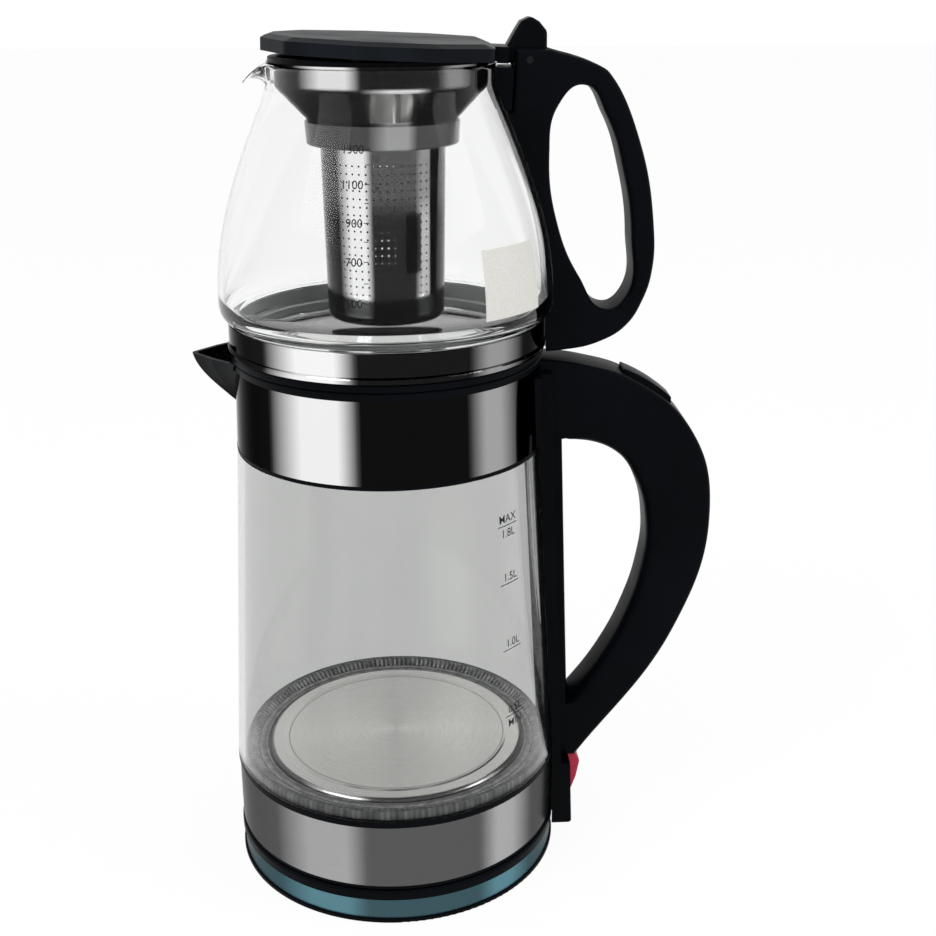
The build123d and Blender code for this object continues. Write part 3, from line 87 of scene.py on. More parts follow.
class Finish:
    """A surface finish: one Principled shader whose varying values come from nodes."""

    def __init__(self, name, **fixed):
        self.material = bpy.data.materials.new(name)
        self.material.use_nodes = True
        self.tree = self.material.node_tree
        self.shader = self.tree.nodes["Principled BSDF"]
        self.put(**fixed)

    def add(self, kind, settings, sockets, out=0):
        """One node: its settings first, then its sockets' values or links; gives back an output."""
        node = self.tree.nodes.new(kind)
        for name, value in settings.items():
            if name == "stops":
                ramp = node.color_ramp
                ramp.elements.remove(ramp.elements[0])
                ramp.elements[0].position, ramp.elements[0].color = value[0][0], (*value[0][1], 1)
                for place, colour in value[1:]:
                    ramp.elements.new(place).color = (*colour, 1)
            else:
                setattr(node, name, value)
        for name, value in sockets.items():
            if isinstance(value, Wire):
                self.tree.links.new(value.socket, node.inputs[name])
            else:
                node.inputs[name].default_value = value
        return Wire(self, node.outputs[out])

    def put(self, **values):
        """Sets or links the shader's own sockets; a name's underscores stand for spaces."""
        for name, value in values.items():
            socket = self.shader.inputs[name.replace("_", " ")]
            if isinstance(value, Wire):
                self.tree.links.new(value.socket, socket)
            elif isinstance(value, tuple) and len(value) == 3:
                socket.default_value = (*value, 1)
            else:
                socket.default_value = value

    def place(self):
        return self.add("ShaderNodeTexCoord", {}, {}, "Object")

    def stretched(self, x, y, z):
        """The place on the piece, each axis stretched by its own factor."""
        return self.add("ShaderNodeMapping", {}, {"Vector": self.place(), "Scale": (x, y, z)})

    def noise(self, where, scale, detail=3.0):
        return self.add("ShaderNodeTexNoise", {}, {"Vector": where, "Scale": scale, "Detail": detail,
                                                  "Roughness": 0.55}, "Fac")

    def plane_noise(self, first, second, detail):
        """Noise over two values that are taken as the two ways across a plane."""
        return self.noise(self.add("ShaderNodeCombineXYZ", {}, {0: first, 1: second}), 1.0, detail)

    def eased(self, value, low, high, to_low=0.0, to_high=1.0):
        """Carries low to high over to two other values, smoothly at both ends and level outside."""
        return self.add("ShaderNodeMapRange", {"interpolation_type": "SMOOTHSTEP"}, {
            "Value": value, "From Min": low, "From Max": high, "To Min": to_low, "To Max": to_high})

    def mixed(self, share, first, second, blend="MIX"):
        first = first if isinstance(first, Wire) else (*first, 1)
        second = second if isinstance(second, Wire) else (*second, 1)
        return self.add("ShaderNodeMix", {"data_type": "RGBA", "blend_type": blend},
                        {0: share, 6: first, 7: second}, 2)

    def ramp(self, value, *stops):
        return self.add("ShaderNodeValToRGB", {"stops": stops}, {"Fac": value})

    def greys(self, value, *stops):
        """A ramp of greys, each a little cool or warm: (place, brightness) or (place, brightness, warmth)."""
        return self.ramp(value, *[(stop[0], tuple(
            min(stop[1] * (1 + part * (stop[2] if len(stop) > 2 else 0.0)), 1.0) for part in (1, 0.3, -1)))
            for stop in stops])

    def bump(self, height, distance):
        self.put(Normal=self.add("ShaderNodeBump", {}, {"Strength": 1.0, "Distance": distance,
                                                       "Height": height}))

    def on(self, *pieces):
        for piece in pieces:
            piece.data.materials.clear()
            piece.data.materials.append(self.material)


def moulded(name, shade, roughness, grain, gloss=0.03):
    """Spark-eroded plastic: a slightly uneven colour with a fine grain."""
    finish = Finish(name, Specular_IOR_Level=gloss)
    patches = finish.noise(finish.place(), 28.0, 2.0)
    light = tuple(1.5 * part for part in shade)
    finish.put(Base_Color=finish.mixed(finish.eased(patches, 0.35, 0.7), shade, light))
    finish.put(Roughness=finish.eased(patches, 0.3, 0.75, roughness - 0.05, roughness + 0.06))
    finish.bump(finish.noise(finish.place(), 2600.0, 2.0), grain)
    return finish


body_plastic = moulded("black_body_plastic", (0.0013, 0.0018, 0.0026), 0.36, 0.00003)
body_plastic.on(nodes["base_bottom_cover"], nodes["base_upper_shell"], nodes["cord_inlet"],
                nodes["base_connector"], nodes["kettle_socket"])
pad_rubber = moulded("pad_rubber", (0.012, 0.012, 0.012), 0.8, 0.00008)
pad_rubber.on(nodes["base_pads"])

# ---------------------------------------------------------------- Power base, coloured band
# A strip of anodised aluminium, teal with a metallic sheen, is rolled round the base between
# the cover and the shell's lip. Lighter and darker upright bands round it are painted reflections.


def round_axis(finish):
    """Turn about the upright axis as 0 to 1 (0.25 is -Y, the front, and 0.5 is +X), and x, y, z."""
    x = finish.add("ShaderNodeSeparateXYZ", {}, {0: finish.place()}, "X")
    parts = x.socket.node.outputs
    y, z = Wire(finish, parts["Y"]), Wire(finish, parts["Z"])
    return x.maths("ARCTAN2", y, x) / (2 * math.pi) + 0.5, x, y, z


def two_windows(finish, turn, dark, left, right, back):
    """Painted reflections of two windows: greys round the axis, light bands at the front left, narrower at
    the right, and behind.
    """
    return finish.greys(
        turn, (0.0, dark), (0.12, dark), (0.16, left), (0.2, left), (0.22, dark), (0.33, dark),
        (0.35, right), (0.37, right), (0.4, dark), (0.5, dark), (0.6, back), (0.9, back), (1.0, dark))


trim_metal = Finish("teal_anodised_band", Metallic=0.85, Specular_IOR_Level=0.2,
                    Specular_Tint=(0.5, 0.5, 0.5))
turn, _, _, _ = round_axis(trim_metal)
# Painted reflections: the teal goes lighter and darker in upright bands round the axis.
trim_metal.put(Base_Color=trim_metal.mixed(
    two_windows(trim_metal, turn, 0.2, 0.9, 1.0, 0.6), (0.03, 0.055, 0.065), (0.11, 0.25, 0.30)))
streaks = trim_metal.noise(trim_metal.stretched(40, 40, 3000), 1.0)
trim_metal.put(Roughness=trim_metal.eased(streaks, 0.3, 0.7, 0.26, 0.36))
trim_metal.on(nodes["base_trim_band"])

# ---------------------------------------------------------------- Screws and contacts
# Plain zinc-plated screws, pin, bracket and spring, a blackened hinge pin and lid screws, and
# the brass sleeves of the connector. They are bought parts, screwed or pressed into their seats.


def mottled_metal(name, first, second, rough_low, rough_high, size):
    finish = Finish(name, Metallic=1.0)
    mottle = finish.noise(finish.place(), size)
    finish.put(Base_Color=finish.mixed(mottle, first, second))
    finish.put(Roughness=finish.eased(mottle, 0.3, 0.7, rough_low, rough_high))
    return finish


screw_steel = mottled_metal("zinc_screw_steel", (0.36, 0.36, 0.35), (0.52, 0.52, 0.50), 0.28, 0.42, 900.0)
screw_steel.on(*[nodes[name] for name in (
    "base_screws", "kettle_bottom_screws", "handle_screws", "switch_pin", "button_spring", "ring_bracket",
    "bracket_screw")])
pin_steel = mottled_metal(
    "blackened_pin_steel", (0.010, 0.010, 0.011), (0.022, 0.022, 0.024), 0.3, 0.45, 900.0)
pin_steel.on(nodes["hinge_pin"], nodes["lid_screws"])
contact_brass = mottled_metal("contact_brass", (0.62, 0.44, 0.18), (0.74, 0.56, 0.26), 0.22, 0.36, 700.0)
contact_brass.on(nodes["base_contacts"], nodes["socket_contacts"], nodes["bimetal_disc"])

# ---------------------------------------------------------------- Kettle foot
# Black bottom cover, a brushed steel band round the foot, and the black ring that the glass
# stands in. The band is rolled from sheet that was brushed along its length. The seal and the
# collar at the glass's top are of the same black plastic.
body_plastic.on(nodes["kettle_bottom_cover"], nodes["glass_carrier_ring"], nodes["glass_top_seal"],
                nodes["upper_collar"])
brushed_band = Finish("brushed_steel_band", Metallic=1.0, Specular_Tint=(0.5, 0.5, 0.5))
turn, _, _, height = round_axis(brushed_band)
hairs = brushed_band.plane_noise(turn * 30.0, height * 9000.0, 4.0)
# Painted reflections: light and dark upright bands round the band, with the brushing laid over them.
painted_sheen = two_windows(brushed_band, turn, 0.10, 0.38, 0.42, 0.4)
hair_tone = brushed_band.mixed(brushed_band.eased(hairs, 0.3, 0.7), (0.38, 0.38, 0.38), (0.62, 0.62, 0.62))
brushed_band.put(Base_Color=brushed_band.mixed(0.22, painted_sheen, hair_tone, "OVERLAY"))
brushed_band.put(Roughness=brushed_band.eased(hairs, 0.3, 0.7, 0.22, 0.32))
brushed_band.bump(hairs, 0.000002)
brushed_band.on(nodes["steel_base_band"])

# ---------------------------------------------------------------- Thermostat and element
# Unpainted nylon thermostat housing, aluminium spreader and element, lamp board and steam
# switch: all hidden in the foot and the handle.
inner_nylon = moulded("inner_nylon", (0.10, 0.10, 0.10), 0.6, 0.00005)
inner_nylon.on(nodes["control_housing"], nodes["led_board"], nodes["steam_switch"])
cast_metal = mottled_metal("cast_aluminium", (0.45, 0.45, 0.45), (0.62, 0.62, 0.62), 0.4, 0.55, 400.0)
cast_metal.on(nodes["heat_spreader"], nodes["heating_element"])

# ---------------------------------------------------------------- Heating plate
# A pressed stainless dish, brushed in circles; the fans of light on it are painted highlights.
# A darker ring at the groove is painted shade, and its rounded edge, polished by the pressing,
# carries painted reflections.
groove_low_r, groove_r, groove_high_r = 0.0512, 0.0518, 0.0524
edge_low_r, edge_high_r = 0.0588, 0.0600
plate_steel = Finish("circle_brushed_plate", Metallic=1.0)
turn, x, y, _ = round_axis(plate_steel)
radius = (x * x + y * y) ** 0.5
rings = plate_steel.plane_noise(radius * 5200.0, turn * 3.0, 4.0)
# Painted highlights: two light fans round the dish.
painted_fans = plate_steel.greys((turn * 2).fract(), (0.0, 0.95, 0.02), (0.5, 0.76, 0.02), (1.0, 0.95, 0.02))
# Painted reflections: upright light and dark bands on the polished edge.
edge = two_windows(plate_steel, turn, 0.12, 0.9, 0.8, 0.3)
plate_colour = plate_steel.mixed(
    0.12, painted_fans, plate_steel.mixed(rings, (0.3, 0.3, 0.3), (0.7, 0.7, 0.7)), "OVERLAY")
# Painted shade: a thin darker ring along the groove.
painted_groove_shade = plate_steel.eased(radius, groove_low_r, groove_r) * (
    1 - plate_steel.eased(radius, groove_r, groove_high_r))
plate_colour = plate_steel.mixed(painted_groove_shade * 0.55, plate_colour, (0.10, 0.10, 0.095))
plate_steel.put(Base_Color=plate_steel.mixed(
    plate_steel.eased(radius, edge_low_r, edge_high_r), plate_colour, edge))
plate_steel.put(Roughness=plate_steel.eased(rings, 0.3, 0.7, 0.20, 0.28))
plate_steel.bump(rings, 0.000002)
plate_steel.on(nodes["heating_plate"])

# ---------------------------------------------------------------- Light ring
# Clear polycarbonate ring round the plate. A row of small moulded ribs between its flat and
# its raised edge scatters the lamps' light; it seals the plate to the glass.
ring_flat_z = 0.0545
ring_edge_z = 0.0567
rib_inner_r = 0.0662
rib_outer_r = 0.0697
rib_count = 180
rib_half_t = 0.00052
rib_sink = 0.0002
rib_bevel = 0.0002
rib_slope = (0.0006, 0, -0.0019)
ring_inner_r, shares_per_metre = 0.060, 80.0


def pick(piece):
    """Makes a piece the active and only selected one."""
    bpy.ops.object.select_all(action="DESELECT")
    bpy.context.view_layer.objects.active = piece
    piece.select_set(True)


def clear_selection(piece):
    """Picks a piece and leaves none of its mesh selected, with corners as what is selected next."""
    pick(piece)
    bpy.ops.object.mode_set(mode="EDIT")
    bpy.ops.mesh.select_mode(type="VERT")
    bpy.ops.mesh.select_all(action="DESELECT")
    bpy.ops.object.mode_set(mode="OBJECT")


def added(operator, name, **settings):
    """A new primitive with nothing else selected, its place laid into its mesh."""
    bpy.ops.object.select_all(action="DESELECT")
    operator(**settings)
    piece = bpy.context.object
    piece.name = name
    bpy.ops.object.transform_apply(location=True, rotation=True, scale=True)
    return piece


rib = added(bpy.ops.mesh.primitive_cube_add, "light_ring_ribs", size=1.0,
            location=((rib_inner_r + rib_outer_r) / 2, 0, (ring_flat_z + ring_edge_z) / 2 - rib_sink / 2),
            scale=(rib_outer_r - rib_inner_r, 2 * rib_half_t, ring_edge_z - ring_flat_z + rib_sink))
clear_selection(rib)
for corner in rib.data.vertices:
    corner.select = corner.co.z > ring_flat_z + 0.001 and corner.co.x < (rib_inner_r + rib_outer_r) / 2
bpy.ops.object.mode_set(mode="EDIT")
bpy.ops.transform.translate(value=rib_slope)
bpy.ops.mesh.select_all(action="SELECT")
bpy.ops.mesh.bevel(offset=rib_bevel, segments=1)
bpy.ops.mesh.select_all(action="SELECT")
bpy.ops.mesh.spin(steps=rib_count, dupli=True, angle=2 * math.pi, center=(0, 0, 0), axis=(0, 0, 1))
bpy.ops.object.mode_set(mode="OBJECT")
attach(rib, "kettle")

clear_ring = Finish("clear_polycarbonate", IOR=1.5, Transmission_Weight=0.25, Specular_IOR_Level=0.5)
turn, x, y, _ = round_axis(clear_ring)
radius = (x * x + y * y) ** 0.5
# Painted highlights and reflections: light and dark rings by radius across the clear ring,
# with painted glints laid over them as noise, and dark ticks at the ribs' pitch outside them.
steps = clear_ring.greys(
    (radius - ring_inner_r) * shares_per_metre, (0.0, 0.5), (0.2, 0.5), (0.25, 0.1), (0.45, 0.6),
    (0.5, 0.1), (0.8, 0.4), (0.9, 0.1), (1.0, 0.3))
glints = clear_ring.plane_noise(turn * 90.0, radius * 400.0, 2.0)
ticked = clear_ring.eased((turn * rib_count).fract(), 0.35, 0.55) * (radius > rib_outer_r)
steps = clear_ring.mixed(ticked * 0.45, steps, (0.06, 0.063, 0.066))
painted_glint_tone = clear_ring.mixed(clear_ring.eased(glints, 0.35, 0.65), (0.18, 0.19, 0.20), (0.82, 0.83, 0.84))
clear_ring.put(Base_Color=clear_ring.mixed(0.6, steps, painted_glint_tone, "OVERLAY"))
clear_ring.put(Roughness=clear_ring.eased(glints, 0.3, 0.7, 0.06, 0.14))
clear_ring.on(nodes["light_ring"])
rib_clear = Finish("clear_rib_polycarbonate", IOR=1.5, Transmission_Weight=0.3)
cloud = rib_clear.noise(rib_clear.place(), 90.0)
rib_clear.put(Base_Color=rib_clear.mixed(
    rib_clear.eased(cloud, 0.4, 0.6), (0.45, 0.46, 0.47), (0.96, 0.97, 0.97)))
rib_clear.put(Roughness=rib_clear.eased(cloud, 0.3, 0.7, 0.08, 0.18))
rib_clear.on(rib)

# ---------------------------------------------------------------- Kettle glass
# A tapered borosilicate tube, its cut edges polished. It stands in the black ring of the foot
# and is printed with a scale in black enamel.
glass_low_z, glass_high_z = 0.0528, 0.2048
glass_low_r, glass_high_r = 0.0762, 0.0678
print_lift, print_swell = 0.00012, 0.00002
cap_share = 0.7
line_half, line_t, letter_h, kettle_scale_deg = 0.0059, 0.0004, 0.0036, -44.6


def kettle_glass_r(z):
    return glass_low_r + (glass_high_r - glass_low_r) * (z - glass_low_z) / (glass_high_z - glass_low_z)


def printed(name, marks, turn_deg, glass_r, body):
    """Printing on a round glass: flat words and lines, joined and then laid on the glass.

    A mark is (words, height of its letters, x, z) or (None, line's thickness, (x, x), z)."""
    pieces = []
    for words, size, across, up in marks:
        bpy.ops.object.select_all(action="DESELECT")
        if words:
            bpy.ops.object.text_add(location=(across, 0, up), rotation=(math.pi / 2, 0, 0))
            mark = bpy.context.object
            mark.data.body = words
            mark.data.size = size / cap_share
            mark.data.offset = print_swell
            mark.data.align_x = "CENTER" if body == "kettle" else "RIGHT"
            bpy.ops.object.convert(target="MESH")
        else:
            width = across[1] - across[0]
            bpy.ops.mesh.primitive_grid_add(x_subdivisions=8, y_subdivisions=1, size=1.0,
                                            location=((across[0] + across[1]) / 2, 0, up),
                                            rotation=(math.pi / 2, 0, 0))
            mark = bpy.context.object
            mark.scale = (width, size, 1)
        bpy.ops.object.transform_apply(location=True, rotation=True, scale=True)
        pieces.append(mark)
    for mark in pieces:
        mark.select_set(True)
    bpy.context.view_layer.objects.active = pieces[0]
    bpy.ops.object.join()
    scale = bpy.context.object
    scale.name = name
    for corner in scale.data.vertices:
        across, _, up = corner.co
        radius = glass_r(up) + print_lift
        angle = math.radians(turn_deg) + across / radius
        corner.co = (radius * math.cos(angle), radius * math.sin(angle), up)
    scale.data.materials.clear()
    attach(scale, body)
    return scale


kettle_marks = [(None, line_t, (-line_half, line_half), z) for z in (0.1810, 0.1544, 0.1236, 0.0918)]
kettle_marks += [(words, letter_h, across, z) for words, across, z in (
    ("MAX", 0.0, 0.1824), ("1.8L", 0.0, 0.1758), ("1.5L", 0.0004, 0.1558), ("1.0L", 0.0004, 0.1250),
    ("0.5L", 0.0002, 0.0932), ("MIN", 0.0, 0.0866))]
kettle_scale = printed(
    "kettle_scale", kettle_marks, kettle_scale_deg, kettle_glass_r, "kettle")
enamel = Finish("black_enamel_print", Specular_IOR_Level=0.1)
wear = enamel.noise(enamel.place(), 1500.0)
enamel.put(Base_Color=enamel.mixed(wear, (0.006, 0.006, 0.007), (0.016, 0.016, 0.018)))
enamel.put(Roughness=enamel.eased(wear, 0.3, 0.7, 0.4, 0.55))
enamel.on(kettle_scale)

kettle_glass = Finish("kettle_borosilicate", IOR=1.47, Transmission_Weight=1.0,
                      Specular_Tint=(0.15, 0.15, 0.15))
haze = kettle_glass.noise(kettle_glass.stretched(30, 30, 5), 1.0, 2.0)
kettle_glass.put(Base_Color=kettle_glass.mixed(
    kettle_glass.eased(haze, 0.35, 0.75, 0.0, 0.3), (0.68, 0.685, 0.68), (0.80, 0.81, 0.795)))
kettle_glass.put(Roughness=kettle_glass.eased(haze, 0.3, 0.7, 0.0, 0.01))
kettle_glass.on(nodes["kettle_glass"])

# ---------------------------------------------------------------- Polished steel bands
# Mirror-finished stainless: the band under the kettle's rim and the ring of the teapot. The
# room's windows and dark corners are painted on them as upright bands of reflection.


def polished(name, dark, left, right, back):
    finish = Finish(name, Metallic=1.0, Specular_Tint=(0.5, 0.5, 0.5))
    turn, _, _, _ = round_axis(finish)
    faint = finish.noise(finish.stretched(20, 20, 3000), 1.0)
    # Painted reflections: upright light and dark bands round the axis.
    finish.put(Base_Color=two_windows(finish, turn, dark, left, right, back))
    finish.put(Roughness=finish.eased(faint, 0.3, 0.7, 0.04, 0.09))
    return finish


polished_band = polished("polished_band", 0.005, 0.85, 0.35, 0.5)
polished_band.on(nodes["mirror_band"])
polished_ring = polished("polished_ring", 0.01, 0.9, 0.3, 0.6)
polished_ring.on(nodes["teapot_base_ring"])

# ---------------------------------------------------------------- Rim, spout and spine
# Black ABS: the rim snapped on the polished band, the spout screwed on from inside, and the
# spine that carries the handle.
body_plastic.on(nodes["kettle_rim"], nodes["kettle_spout"], nodes["handle_spine"], nodes["lid_liner"],
                nodes["funnel_ring"])

# ---------------------------------------------------------------- Kettle handle
# A hollow black moulding with a soft satin grain, closed along its back by a cover that holds
# the release button. Its edges are rounded, most of all round the finger hole.
grip_half_w, grip_edge, grip_hole_edge, hole_straight_x = 0.012, 0.0026, 0.0056, 0.0780
inside_x, spine_back_low, spine_back_high = 0.05, (0.0793, 0.03), (0.0713, 0.2382)
rim_wall_x, spine_half_w = 0.0660, 0.02
well_left, well_right, well_half_w = (0.1037, 0.2275), (0.1263, 0.2135), 0.00625
weld = 0.00001
smooth_deg = 40


def flat_curve(name, loops):
    """Closed curves on the upright middle plane, from points (x, z) in mm; a third part marks a corner."""
    bpy.ops.object.select_all(action="DESELECT")
    bpy.ops.curve.primitive_bezier_curve_add(location=(0, 0, 0))
    curve = bpy.context.object
    curve.name = name
    bpy.ops.object.mode_set(mode="EDIT")
    bpy.ops.curve.select_all(action="SELECT")
    bpy.ops.curve.delete(type="VERT")
    for loop in loops:
        bpy.ops.curve.select_all(action="DESELECT")
        for point in loop:
            bpy.ops.curve.vertex_add(location=(point[0] / 1000, point[1] / 1000, 0))
        bpy.ops.curve.cyclic_toggle()
    bpy.ops.object.mode_set(mode="OBJECT")
    for spline, loop in zip(curve.data.splines, loops):
        for knot, point in zip(spline.bezier_points, loop):
            knot.handle_left_type = knot.handle_right_type = "VECTOR" if len(point) > 2 else "AUTO"
    curve.data.resolution_u = 18
    curve.rotation_euler = (math.pi / 2, 0, 0)
    return curve


def made_mesh(piece):
    """Turns a curve into a mesh, lays its place into the mesh, merges doubles and faces it outwards."""
    pick(piece)
    bpy.ops.object.convert(target="MESH")
    bpy.ops.object.transform_apply(location=True, rotation=True, scale=True)
    piece = bpy.context.object
    bpy.ops.object.mode_set(mode="EDIT")
    bpy.ops.mesh.select_all(action="SELECT")
    bpy.ops.mesh.remove_doubles(threshold=weld)
    bpy.ops.mesh.normals_make_consistent(inside=False)
    bpy.ops.object.mode_set(mode="OBJECT")
    return piece


def rounded_slab(name, half_w, edge, *loops):
    """A slab to both sides of the middle plane, with its edges rounded."""
    curve = flat_curve(name, loops)
    curve.data.dimensions = "2D"
    curve.data.fill_mode = "BOTH"
    curve.data.extrude = half_w - edge
    curve.data.bevel_depth = edge
    curve.data.bevel_resolution = 3
    curve.data.offset = -edge
    return made_mesh(curve)


def hole_plug(loop, half_w, edge, straight_x):
    """What a finger hole takes away: it opens out at both faces by a quarter round.

    The round is small along the hole's straight side, which stands at straight_x."""
    plug = made_mesh(flat_curve("hole_plug", [loop]))
    path = [corner.co.copy() for corner in plug.data.vertices]
    area = sum(here.x * after.z - after.x * here.z for here, after in zip(path, path[1:] + path[:1]))
    side = 1.0 if area > 0 else -1.0
    opening = []
    for before, here, after in zip(path[-1:] + path[:-1], path, path[1:] + path[:1]):
        along = (after - before).normalized()
        share = min(max((here.x - straight_x) / 0.012, 0.16), 1.0)
        opening.append(side * share * Vector((along.z, 0, -along.x)))
    quarter = [math.radians(15 * step) for step in range(6, -1, -1)]
    levels = [(-half_w - 0.002, edge)]
    levels += [(-half_w + edge * (1 - math.sin(turn)), edge * (1 - math.cos(turn))) for turn in quarter]
    levels += [(-up, out) for up, out in reversed(levels)]
    clear_selection(plug)
    spots = path
    for across, out in levels:
        bpy.ops.object.mode_set(mode="EDIT")
        if spots is path:
            bpy.ops.mesh.select_all(action="SELECT")
        else:
            bpy.ops.mesh.extrude_region_move(TRANSFORM_OT_translate={"value": (0, 0, 0)})
        bpy.ops.object.mode_set(mode="OBJECT")
        moved = [spot + out * way + Vector((0, across - spot.y, 0)) for spot, way in zip(path, opening)]
        for corner in plug.data.vertices:
            if corner.select:
                nearest = min(range(len(spots)), key=lambda at: (spots[at] - corner.co).length_squared)
                corner.co = moved[nearest]
        spots = moved
    bpy.ops.object.mode_set(mode="EDIT")
    bpy.ops.mesh.select_all(action="SELECT")
    bpy.ops.mesh.fill_holes(sides=0)
    bpy.ops.mesh.normals_make_consistent(inside=False)
    bpy.ops.object.mode_set(mode="OBJECT")
    return plug


def slanted_block(low_left, low_right, high_left, high_right, half_w):
    """A block between four points (x, z), in metres, to both sides of the middle plane."""
    block = added(bpy.ops.mesh.primitive_cube_add, "block", size=2.0)
    for corner in block.data.vertices:
        ends = ((low_left, low_right), (high_left, high_right))[corner.co.z > 0]
        x, z = ends[corner.co.x > 0]
        corner.co = (x, math.copysign(half_w, corner.co.y), z)
    return block


def cut(piece, cutter):
    """Takes the cutter's shape away from a piece."""
    pick(piece)
    change = piece.modifiers.new("cut", "BOOLEAN")
    change.object = cutter
    change.solver = "EXACT"
    bpy.ops.object.modifier_apply(modifier="cut")
    bpy.data.objects.remove(cutter)


def shaded(piece):
    """Smooth shading, with an edge left between faces that meet at more than smooth_deg."""
    pick(piece)
    bpy.ops.object.shade_smooth_by_angle(angle=math.radians(smooth_deg))


def copied(node, name):
    """A copy of a node with its doubles merged, left in edit mode with all of it selected."""
    piece = nodes[node].copy()
    piece.data = nodes[node].data.copy()
    piece.name = name
    bpy.context.scene.collection.objects.link(piece)
    clear_selection(piece)
    bpy.ops.object.mode_set(mode="EDIT")
    bpy.ops.mesh.select_all(action="SELECT")
    bpy.ops.mesh.remove_doubles(threshold=weld)
    return piece


def softened(node, name, width, body):
    """A copy of a moulded node with its sharp edges rounded, which stands for the node."""
    piece = copied(node, name)
    bpy.ops.mesh.dissolve_limited(angle_limit=math.radians(2))
    bpy.ops.object.mode_set(mode="OBJECT")
    edges = piece.modifiers.new("edges", "BEVEL")
    edges.width = width
    edges.segments = 3
    edges.limit_method = "ANGLE"
    edges.angle_limit = math.radians(25)
    bpy.ops.object.modifier_apply(modifier="edges")
    shaded(piece)
    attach(piece, body)
    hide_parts(node)
    return piece


kettle_grip = rounded_slab("kettle_grip", grip_half_w, grip_edge, [
    (56, 243.5, 1), (64.3, 243.0), (87.5, 239.6), (108.0, 232.6), (135.0, 209.0), (145.8, 170.0),
    (131.8, 111.0), (86.05, 43.4, 1), (56, 43.2, 1)])
cut(kettle_grip, slanted_block((inside_x, spine_back_low[1]), spine_back_low,
                               (inside_x, spine_back_high[1]), spine_back_high, spine_half_w))
cut(kettle_grip, slanted_block((inside_x, 0.23), (rim_wall_x, 0.23), (inside_x, 0.25), (rim_wall_x, 0.25),
                               spine_half_w))
cut(kettle_grip, slanted_block(well_left, well_right, (well_left[0], 0.245), (well_right[0], 0.245),
                               well_half_w))
cut(kettle_grip, hole_plug([
    (76.9, 206.3, 1), (100.6, 199.1), (110.8, 185.8), (116.8, 161.5), (115.2, 141.0), (109.2, 119.5),
    (98.9, 97.2), (82.0, 72.0, 1)], grip_half_w, grip_hole_edge, hole_straight_x))
shaded(kettle_grip)
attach(kettle_grip, "kettle")
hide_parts("handle_shell", "handle_cover")
release_pad = softened("release_button", "release_pad", 0.0007, "button")
handle_plastic = moulded("handle_plastic", (0.0013, 0.0018, 0.0027), 0.38, 0.00004)
handle_plastic.on(kettle_grip, release_pad, nodes["neck_saddle"])

# ---------------------------------------------------------------- Button spring
# A small coil of spring steel under the release button, standing in the handle.
coil = copied("button_spring", "coil_spring")
bpy.ops.object.mode_set(mode="OBJECT")
shaded(coil)
screw_steel.on(coil)
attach(coil, "kettle")
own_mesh(coil)
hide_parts("button_spring")

# ---------------------------------------------------------------- Rocker switch
# A rose-red glossy rocker, moulded in ABS. It turns on a steel pin in the foot of the handle
# and sticks out below it as a lever.
rocker = softened("switch_lever", "rocker_switch", 0.0011, "switch")
lever_plastic = Finish("rose_lever_plastic", Coat_Weight=0.05, Specular_IOR_Level=0.2)
mottle = lever_plastic.noise(lever_plastic.place(), 120.0)
lever_plastic.put(Base_Color=lever_plastic.mixed(mottle, (0.40, 0.016, 0.045), (0.50, 0.022, 0.060)))
lever_plastic.put(Roughness=lever_plastic.eased(mottle, 0.3, 0.7, 0.22, 0.30))
lever_plastic.on(rocker)

# ---------------------------------------------------------------- Silicone
# The steam hose in the handle and the gasket between the teapot's ring and its glass, both of
# milky clear silicone and pushed into their seats.
silicone = moulded("clear_silicone", (0.40, 0.42, 0.42), 0.45, 0.00002, 0.4)
silicone.on(nodes["teapot_gasket"], nodes["steam_tube"])

# ---------------------------------------------------------------- Teapot glass
# Blown borosilicate with a pulled lip, printed with a scale in black enamel, and a blank
# paper label that still sticks on its side.
belly_z, neck_z = 0.2703, 0.3573
belly_r, neck_r = 0.0721, 0.0476
digit_h, digit_drop, tick_t, teapot_scale_deg = 0.0031, 0.0016, 0.0003, -97.4
long_tick, short_tick = (0.0004, 0.0024), (0.0006, 0.0022)


def teapot_glass_r(z):
    share = min(max((z - belly_z) / (neck_z - belly_z), 0.0), 1.0)
    return neck_r + (belly_r - neck_r) * math.cos(math.pi / 2 * share)


teapot_marks = []
for amount, z in ((1300, 0.3392), (1100, 0.3266), (900, 0.3128), (700, 0.2986), (500, 0.2830)):
    teapot_marks += [(str(amount), digit_h, 0.0, z - digit_drop), (None, tick_t, long_tick, z)]
teapot_marks += [(None, tick_t, short_tick, z) for z in (0.3336, 0.3199, 0.3060, 0.2906)]
teapot_scale = printed(
    "teapot_scale", teapot_marks, teapot_scale_deg, teapot_glass_r, "teapot")
enamel.on(teapot_scale)

label_half_w, label_low_z, label_high_z, label_lift, label_deg = 0.0168, 0.2725, 0.3003, 0.00015, -43.9
label = added(bpy.ops.mesh.primitive_grid_add, "blank_label", x_subdivisions=24, y_subdivisions=20, size=1.0,
              rotation=(math.pi / 2, 0, 0))
bpy.ops.transform.resize(value=(2 * label_half_w, 1, label_high_z - label_low_z))
bpy.ops.transform.translate(value=(0, 0, (label_low_z + label_high_z) / 2))
bpy.ops.object.transform_apply(location=True, rotation=True, scale=True)
for corner in label.data.vertices:
    across, _, up = corner.co
    radius = teapot_glass_r(up) + label_lift
    angle = math.radians(label_deg) + across / belly_r
    corner.co = (radius * math.cos(angle), radius * math.sin(angle), up)
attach(label, "teapot")
paper = Finish("blank_paper_label", Specular_IOR_Level=0.2)
fibres = paper.noise(paper.place(), 1800.0, 4.0)
paper.put(Base_Color=paper.mixed(paper.eased(fibres, 0.3, 0.7), (0.56, 0.545, 0.51), (0.66, 0.645, 0.61)))
